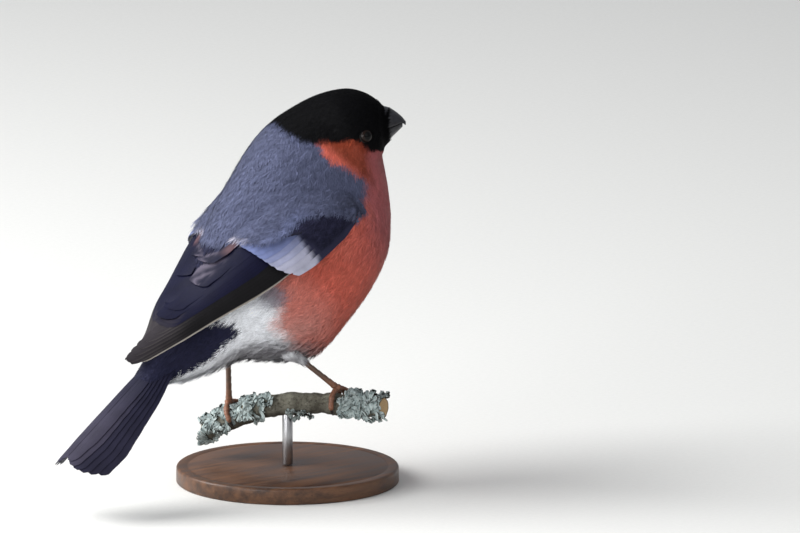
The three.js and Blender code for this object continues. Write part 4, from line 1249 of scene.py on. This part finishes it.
def add_leg(name, material):
    grip, ankle, _ = LEGS[name]
    around, grasp, root, shin = leg_places(grip, ankle)
    parts = []
    for (start, end), spread_by, thick in TOES:
        u = np.linspace(0, 1, 90)
        lift = TOE_ARCH * np.sin(np.pi * np.minimum(1, u * 1.2))
        points = around(lerp(start, end, u), grasp + lift, spread_by * smooth(u, 0, 0.7))
        radii = through(TOE_JOINTS, u) * thick * TOE_RADIUS
        parts.append(scaled_limb(points, radii, 11, claw=CLAW_FROM))
    along = np.linspace(-1.1, 1.7, 24)
    ball = root + along[:, None] * shin
    round_off = np.sqrt(np.clip(1 - ((along + 0.1) / BALL_HALF) ** 2, 0.02, 1))
    parts.append(scaled_limb(ball, lerp(round_off * 1.35, 1.05, smooth(along, -0.2, 1.2)), 5))
    points, faces, lie = joined(parts)
    piece = add_mesh(f"gripping_foot_{name}", points, faces, material, lie=lie)
    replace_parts(piece, f"foot_{name}")
    u = np.linspace(0, 1, 110)
    line = lerp(root + shin * 1.2, ankle + shin * 2.5, u[:, None])
    points, faces, lie = scaled_limb(line, TARSUS_RADIUS * through(SHIN_JOINTS, u), 9, depth=0.14)
    lie[:, 1] = SHIN_LIE
    piece = add_mesh(f"scaled_tarsus_{name}", points, faces, material, lie=lie)
    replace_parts(piece, f"tarsus_{name}")


# Lichen: rosettes of thin forked lobes that lift off the bark. Each patch is a place along the
# branch, a turn round it, how far its lobes reach and how many it has.
LICHEN = [
    (-24.0, 1.2, 5.0, 16), (-21.0, 0.2, 5.5, 18), (-23.0, 2.6, 4.5, 14), (-12.5, 0.9, 5.2, 18),
    (-9.5, 0.1, 5.4, 18), (-11.0, 2.4, 4.2, 12), (-5.5, 0.6, 3.2, 9), (3.5, -0.9, 3.0, 7),
    (7.0, -1.1, 3.4, 8), (26.5, 0.6, 7.5, 26), (28.5, 1.7, 7.0, 24), (24.0, 0.0, 6.0, 20),
    (29.5, -0.4, 6.5, 20), (-26.5, -0.6, 4.0, 12),
]
LOBE_HALF = 0.11  # half a lobe's thickness
FORKS = (-0.5, 0.45)  # the two lobes of a fork, turned from its heading
GOLDEN = 1.618  # keeps the headings of a patch from lining up


def lichen_lobe(rng, q, turn, heading, reach, wide, lift):
    """One lobe as a thin closed ribbon that widens, ruffles and ends in a round notch."""
    u = np.linspace(0, 1, 9)[:, None]
    v = np.linspace(-1, 1, 9)
    curl = heading + rng.normal(0, 0.6) * u
    notched = u * (1 - 0.34 * u ** 3 * np.exp(-((v / 0.3) ** 2)))
    x = reach * notched * np.cos(curl)
    y = reach * notched * np.sin(curl)
    half = wide * (0.35 + 0.65 * smooth(u, 0.2, 0.9)) * np.sqrt(np.clip(1.1 - u ** 9, 0, 1))
    phase = rng.uniform(0, 6.28)
    ruffle = 0.16 * np.sin(5 * u + phase + 2 * v) * u
    height = 0.1 + lift * u ** 1.4 + ruffle - 0.3 * v ** 2 * u
    qq = q + x - np.sin(curl) * half * v
    around = turn + (y + np.cos(curl) * half * v) / PERCH_RADIUS
    _, level, up = perch_frame(qq)
    outward = np.cos(around)[..., None] * level + np.sin(around)[..., None] * up
    base = perch_point(qq) + perch_radius(qq)[..., None] * outward
    top, under = [base + outward * (height + off)[..., None] for off in (LOBE_HALF, -LOBE_HALF)]
    points, faces = thin_sheet(top, under)
    lie = [stacked(u, below, np.abs(v)).reshape(-1, 3) for below in (0, 1)]
    return points, faces, np.concatenate(lie)


def add_lichen(material):
    rng = np.random.default_rng(SEED)
    parts = []
    for q, turn, reach, count in LICHEN:
        for k in range(count):
            heading = 2 * np.pi * (k + rng.uniform(-0.3, 0.3)) / count * GOLDEN
            far = rng.uniform(0.1, 0.55) * reach
            start_q = q + far * math.cos(heading)
            start_turn = turn + far * math.sin(heading) / PERCH_RADIUS
            length = rng.uniform(0.35, 0.6) * reach
            for fork in FORKS:
                parts.append(lichen_lobe(rng, start_q, start_turn, heading + fork, length,
                                         rng.uniform(0.6, 1.0), rng.uniform(0.3, 1.9)))
    points, faces, lie = joined(parts)
    add_mesh("lichen", points, faces, material, lie=lie)


# The bird's plumage over its skin

def add_skin(material):
    rows, columns = 150, 120
    s = np.linspace(FIRST, LAST, rows)[:, None]
    t = turns(columns)
    body = (*loft(body_point(s, t, -coat_depth(s))), with_hubs(body_marking(s, t)))
    points, faces, colours = joined([body, wing_skin("left"), wing_skin("right")])
    skin = add_mesh("skin", points, faces, material, colours)
    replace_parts(skin, "head", "neck", "torso")


# Length of the small feathers by station, and how far apart their roots are for their length
FEATHER_LENGTH = [[-2, 6], [0, 6.5], [2, 7.5], [4, 8.5], [6, 8.5], [8, 6.5], [9.5, 4.6], [11, 3.2],
                  [12.5, 2.0], [14, 1.0]]
ROOT_SPACING, LEAST_SPACING = 0.165, 0.12
EYE_CLEAR = 2.6  # how near an eye's centre the tufts may come


def feather_length(s):
    return through(FEATHER_LENGTH, np.clip(s, FIRST, LAST))


def hidden_by_wing(s, t):
    """Where the body needs no feathers of its own."""
    side = np.abs(np.degrees(t))
    return (s > 2.4) & (s < 6.4) & (side > 44) & (side < 66)


def wing_edge_near(points, t):
    """How near each point of the body is to the lower edge of the wing on its side."""
    p = np.linspace(-4, 34, 60)
    near = np.full(len(points), 1e3)
    for side, (sign, *_) in WINGS.items():
        edge = wing_point(p, 0, 2.5, side)
        reach = np.linalg.norm(points[:, None] - edge[None], axis=-1).min(1)
        near = np.where(np.sign(t) == sign, reach, near)
    return near


def body_spread():
    def weight(s, t):
        by_s, by_t = surface_slopes(body_point, s, t)
        area = np.linalg.norm(np.cross(by_s, by_t), axis=-1)
        spacing = ROOT_SPACING * feather_length(s) + LEAST_SPACING
        return np.where(hidden_by_wing(s, t), 0, area / spacing ** 2)
    return spread(weight, (-1.2, LAST - 0.05), (-np.pi, np.pi))


def clear_of_eyes(roots, length):
    """Shortens the tufts that would lie over an eye, and says which are worth keeping."""
    at = body_point(roots[:, 0], roots[:, 1])
    ahead = unit(body_point(roots[:, 0] - 0.05, roots[:, 1]) - at)
    keep = np.ones(len(roots), bool)
    for side in (-1, 1):
        centre, _, _ = eye_place(side)
        away = centre - at
        forward = (away * ahead).sum(-1)
        beside = np.linalg.norm(away - ahead * forward[:, None], axis=-1)
        inside = np.linalg.norm(away, axis=-1) < EYE_CLEAR
        blocked = (forward > 0) & (beside < EYE_CLEAR)
        room = forward - np.sqrt(np.clip(EYE_CLEAR ** 2 - beside ** 2, 0, None))
        length = np.where(blocked, np.minimum(length, np.maximum(room * 1.05, 0.3)), length)
        keep &= ~inside & ~(blocked & (room < 0.3))
    return length, keep


def body_unwrap(places):
    """Places (s, t) of the body on the baked map."""
    ahead = 0.02 + 0.94 * (places[:, 0] - FIRST) / (LAST + 1 - FIRST)
    return np.stack([0.5 + 0.48 * places[:, 1] / np.pi, ahead], -1)


def coat_surface(a, b, height):
    return body_point(a, b, height - coat_depth(a))


def add_body_plumage(soft, dark):
    """The body's small feathers, black ones apart from the rest as they shine differently."""
    roots = body_spread()
    length, keep = clear_of_eyes(roots, feather_length(roots[:, 0]))
    roots, length = roots[keep], length[keep]
    s, t = roots.T
    side = np.abs(np.degrees(t))
    fluffed = smooth(side, 110, 160) * smooth(s, 5, 2.5)
    near_wing = wing_edge_near(body_point(s, t), t)
    below_wing = smooth(near_wing, 7, 2.5) * (side > 70) * smooth(s, 3.2, 4.0)
    sway = 0.1 * noise(stacked(s * 8, t * 20), 14.0, 9) - np.sign(t) * 0.15 * below_wing
    depth = coat_depth(s)
    rise = depth * lerp(0.95, 1.1, fluffed) + 0.9 * below_wing
    length = length * (1 + 0.15 * below_wing + 0.15 * fluffed)
    black = body_marking(s - 0.25, t).sum(-1) < 0.06
    coats = (
        ("plumage", ~black, soft, "body_feathers"),
        ("black_plumage", black, dark, "cap"),
    )
    for name, chosen, material, slot in coats:
        add_tufts(name, coat_surface, roots[chosen], body_marking, body_unwrap, material, slot,
                  turn=sway[chosen], length=length[chosen], width=length[chosen] * TUFT_WIDTH,
                  rise=rise[chosen], seed=SEED + 2)


def add_fringe(soft):
    """Long loose feathers along the underside, from the belly to the tail."""
    count = 700
    s = lerp(0.8, 4.3, halton(count, 2))
    t = np.radians(180 + lerp(30, 62, smooth(s, 1.0, 2.4)) * (2 * halton(count, 3) - 1))
    length = lerp(5.5, 9.0, halton(count, 5))
    rise = coat_depth(s) * lerp(1.1, 1.9, halton(count, 11))
    add_tufts("fringe", coat_surface, stacked(s, t), body_marking, body_unwrap, soft, "body_feathers",
              turn=0.5 * (halton(count, 7) - 0.5), length=length, width=length * 0.3, rise=rise,
              seed=SEED + 14, loose=0.45)


def add_bristles(dark):
    """Short black bristles that point forward from the face over the base of the bill."""
    count = 1100
    s = lerp(13.0, 14.0, halton(count, 2) ** 0.8)
    t = np.pi * (2 * halton(count, 3) - 1)
    length = lerp(1.5, 2.8, halton(count, 5))
    length = length * lerp(1.0, 0.8, smooth(np.abs(np.degrees(t)), 120, 180))

    def paint(a, _):
        return even(BLACK, a)

    add_tufts("bristles", body_point, stacked(s, t), paint, body_unwrap, dark, "cap", turn=np.pi,
              length=length, width=length * 0.42, rise=0.45, seed=SEED + 8, loose=0.2)


def add_wing_plumage(side, soft, dark):
    """Shoulder feathers over the wing's skin, and the black coverts below them."""
    def reach(q):
        return lerp(5.0, 7.6, smooth(q, 3, 12))

    def above_black(p, q):
        return q > black_patch_top(p + 0.8 * reach(q)) + 0.6

    def grey_weight(a, q):
        ends = through(MANTLE_END, np.clip(q, 10, 26))
        return np.where((reach(q) - a < ends) & above_black(-a, q), 1 / 1.3 ** 2, 0)

    def black_weight(a, q):
        return np.where((-a < 16) & (q < black_patch_top(-a + 5) + 1), 1 / 1.5 ** 2, 0)

    def surface(a, b, height):
        return wing_point(-a, b, shield_height(-a, b) - SHIELD_SUNK[side] + height, side)

    def grey(a, b):
        mottled = 1 + 0.1 * noise(stacked(a, b), 3.0, 12)
        # painted highlight: pale lilac on the ends of the longest shoulder feathers
        fringe = smooth(-a, 33, 36.5) * smooth(b, 15, 20) * (0.6 + 0.4 * mottled)
        beside_bar = smooth(-a, 11, 20) * smooth(b, 15.5, 12)
        plain = blended(GREY * mottled[..., None], BAR_BLUE, 0.3 * beside_bar)
        return blended(plain, FRINGE_HIGHLIGHT, 0.8 * fringe)

    def black(a, _):
        return even(COVERT_BLACK, a)

    def unwrap(places):
        return 0.03 + 0.94 * stacked(places[:, 1] / SHIELD_HIGH, (places[:, 0] + SHIELD_TO) / 45)

    coats = (
        ("shoulder", grey_weight, grey, soft, "nape", 1.3),
        ("covert", black_weight, black, dark, "wing_feathers", 1.0),
    )
    a_range, b_range = (-SHIELD_TO, 0.5 - SHIELD_FROM), (0.3, SHIELD_HIGH - 0.3)
    for name, weight, paint, material, slot, rise in coats:
        roots = spread(weight, a_range, b_range, cells=(120, 90))
        length = reach(roots[:, 1])
        add_tufts(f"{name}_{side}", surface, roots, paint, unwrap, material, slot, turn=0,
                  length=length, width=length * TUFT_WIDTH, rise=rise, seed=SEED + 5)


def add_thigh(name, soft):
    """The short feathers that wrap the top of a leg."""
    grip, ankle, feathered = LEGS[name]
    _, _, root, shin = leg_places(grip, ankle)
    _, side, third = frames_along(np.stack([root, ankle]))
    whole = np.linalg.norm(ankle - root)

    def surface(a, b, height):
        a, b, height = arrays(a, b, height)
        radius = lerp(0.75, 3.3, smooth(a, whole - feathered, whole + 2)) + height
        across = np.cos(b)[..., None] * side[0] + np.sin(b)[..., None] * third[0]
        return root + a[..., None] * shin + radius[..., None] * across

    def paint(a, b):
        pale = 0.5 + 0.9 * noise(stacked(a, b * 2), 1.4, 15)
        return blended(DUSKY_AND_SHADE, WHITE, np.clip(pale, 0, 1))

    def unwrap(places):
        ahead = 0.1 + 0.8 * (places[:, 0] - whole + 12) / 16
        return np.stack([0.1 + 0.8 * places[:, 1] / (2 * np.pi), ahead], -1)

    count = 380
    a = lerp(whole - feathered + 3.0, whole + 2.5, halton(count, 2))
    roots = stacked(a, 2 * np.pi * halton(count, 3))
    add_tufts(f"thigh_{name}", surface, roots, paint, unwrap, soft, "body_feathers", turn=0,
              length=lerp(3.0, 5.2, halton(count, 5)), width=0.9, rise=0.6, seed=SEED + 11, loose=0.6)


# Stand
BASE_RADIUS, BASE_THICK, BASE_RIM, ROD_RADIUS = 34.0, 5.0, 0.8, 1.6
GROOVE_RADIUS, GROOVE_HALF, GROOVE_DEEP = 30.6, 0.4, 0.25  # the fine line turned into the base
ROD_END = 2.6  # how far below the middle of the branch the rod ends


def add_base(material):
    corner = np.linspace(0, np.pi / 2, 8)
    rim_r = BASE_RADIUS - BASE_RIM + BASE_RIM * np.cos(corner)
    rim_z = BASE_THICK - BASE_RIM + BASE_RIM * np.sin(corner)
    groove_r = GROOVE_RADIUS + GROOVE_HALF * vec(1, 0, -1)
    groove_z = BASE_THICK - GROOVE_DEEP * vec(0, 1, 0)
    radii = [0.5, 20, BASE_RADIUS - 0.5, BASE_RADIUS, *rim_r, *groove_r, 15, 2.0]
    heights = [0, 0, 0, 0.4, *rim_z, *groove_z, BASE_THICK, BASE_THICK]
    points, faces = turned_body(radii, heights, 128)
    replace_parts(add_mesh("turned_base", points, faces, material), "stand_base")


def add_rod(material):
    low = BASE_THICK + GAP
    high = FOOTING + perch_point(0)[2] - ROD_END
    heights = [low, low + 0.2, (low + high) / 2, high - 0.2, high]
    points, faces = turned_body(ROD_RADIUS * vec(0.9, 1, 1, 1, 0.9), heights, 48)
    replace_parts(add_mesh("steel_rod", points, faces, material), "stand_rod")


# Stage: azimuths and elevations are in degrees, and azimuth 0 looks at the bird's right side
VIEW = (-40, 12)
MM_PER_PIXEL = 0.305  # of the photograph, at the bird
PHOTO_SIZE = (800, 533)
FOOTING_PIXEL = (287.5, 393)  # where the photograph has the branch's top between the feet
CAMERA_DISTANCE = 6000.0
SENSOR = 36.0
CLIPPED = (0.05, 50)  # the camera sees between these, in metres
# Each light: azimuth, elevation, distance and size in metres, and power
LIGHTS = {
    "key": (-128, 36, 1.1, 0.8, 21),
    "low fill": (-84, 9, 1.4, 1.0, 15),
    "front": (-20, 30, 1.4, 1.1, 2),
}
LIT_HEIGHT = 0.07  # of the place that the lights look at, in metres
SKY_COLOUR, SKY_STRENGTH = (0.93, 0.95, 1.0, 1), 0.38
FLOOR_HALF = 6.0


def way_to(azimuth, elevation):
    """The direction from the bird to a camera or a light."""
    azimuth, elevation = math.radians(azimuth), math.radians(elevation)
    level = math.cos(elevation)
    return vec(math.sin(azimuth) * level, -math.cos(azimuth) * level, math.sin(elevation))


def add_camera():
    back = way_to(*VIEW)
    right = unit(np.cross((0, 0, 1), back))
    up = np.cross(back, right)
    shown = PHOTO_SIZE[0] * MM_PER_PIXEL
    aim = right * (PHOTO_SIZE[0] / 2 - FOOTING_PIXEL[0]) * MM_PER_PIXEL
    aim = aim + up * (FOOTING_PIXEL[1] - PHOTO_SIZE[1] / 2) * MM_PER_PIXEL + vec(0, 0, FOOTING)
    data = bpy.data.cameras.new("camera")
    data.sensor_width = SENSOR
    data.lens = SENSOR * CAMERA_DISTANCE / shown
    data.clip_start, data.clip_end = CLIPPED
    camera = bpy.data.objects.new("camera", data)
    bpy.context.scene.collection.objects.link(camera)
    place = np.eye(4)
    place[:3, :3] = np.stack([right, up, back], -1)
    place[:3, 3] = (aim + back * CAMERA_DISTANCE) * MM
    camera.matrix_world = Matrix(place.tolist())
    bpy.context.scene.camera = camera


def add_light(name, azimuth, elevation, distance, size, power):
    """A soft white square light that looks at the bird."""
    way = Vector(way_to(azimuth, elevation))
    data = bpy.data.lights.new(name, "AREA")
    data.energy, data.size = power, size
    light = bpy.data.objects.new(name, data)
    light.location = way * distance + Vector((0, 0, LIT_HEIGHT))
    light.rotation_euler = way.to_track_quat("Z", "Y").to_euler()
    bpy.context.scene.collection.objects.link(light)


def add_stage():
    graph = Graph("floor", Specular_IOR_Level=0.2)
    speck = graph.noise(1.5)
    colour = graph.mix(speck, rgba(222, 222, 219), rgba(230, 230, 227))
    graph.finish(colour, graph.range(speck, 0, 1, 0.8, 0.95), graph.bump(speck, 0.02))
    mesh = bpy.data.meshes.new("floor")
    corners = [(x * FLOOR_HALF, y * FLOOR_HALF, 0) for x, y in ((-1, -1), (1, -1), (1, 1), (-1, 1))]
    mesh.from_pydata(corners, [], [(0, 1, 2, 3)])
    mesh.materials.append(graph.material)
    floor = bpy.data.objects.new("floor", mesh)
    bpy.context.scene.collection.objects.link(floor)
    world = bpy.data.worlds.new("studio")
    world.use_nodes = True
    sky = world.node_tree.nodes["Background"].inputs
    sky["Color"].default_value = SKY_COLOUR
    sky["Strength"].default_value = SKY_STRENGTH
    bpy.context.scene.world = world
    for name, values in LIGHTS.items():
        add_light(name, *values)
    bpy.context.scene.view_settings.view_transform = "Standard"


add_camera()
add_stage()
soft_coat = plumage_material("plumage", 0.76, 0.08, 0.15, 0.16)
black_coat = plumage_material("black plumage", 0.7, 0.0, 0.05, 0.3)
flight = vane_material("flight feathers", 0.5, 0.1)
skin_surface = skin_material()
add_skin(skin_surface)
add_body_plumage(soft_coat, black_coat)
add_fringe(soft_coat)
add_bristles(black_coat)
for wing_side in WINGS:
    add_wing(wing_side, flight)
    add_wing_plumage(wing_side, soft_coat, black_coat)
tail_vanes = [tail_vane(tail_side, order) for tail_side in (-1, 1) for order in range(TAIL_PAIRS)]
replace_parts(add_vanes("flight_feathers_tail", tail_vanes, flight), "tail")
eye_surface = eye_material()
for eye_side, eye_name in ((1, "left"), (-1, "right")):
    add_eye(eye_name, eye_side, eye_surface, skin_surface)
horn = bill_material()
for half_name, is_upper in (("upper", True), ("lower", False)):
    bill_points, bill_faces, bill_lie = bill_half(is_upper)
    bill_piece = add_mesh(f"horn_{half_name}", bill_points, bill_faces, horn, lie=bill_lie)
    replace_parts(bill_piece, f"bill_{half_name}")
scales = leg_material()
for leg_name in LEGS:
    add_leg(leg_name, scales)
    add_thigh(leg_name, soft_coat)
add_perch(bark_material(), cut_material())
add_lichen(lichen_material())
add_base(wood_material())
add_rod(steel_material())
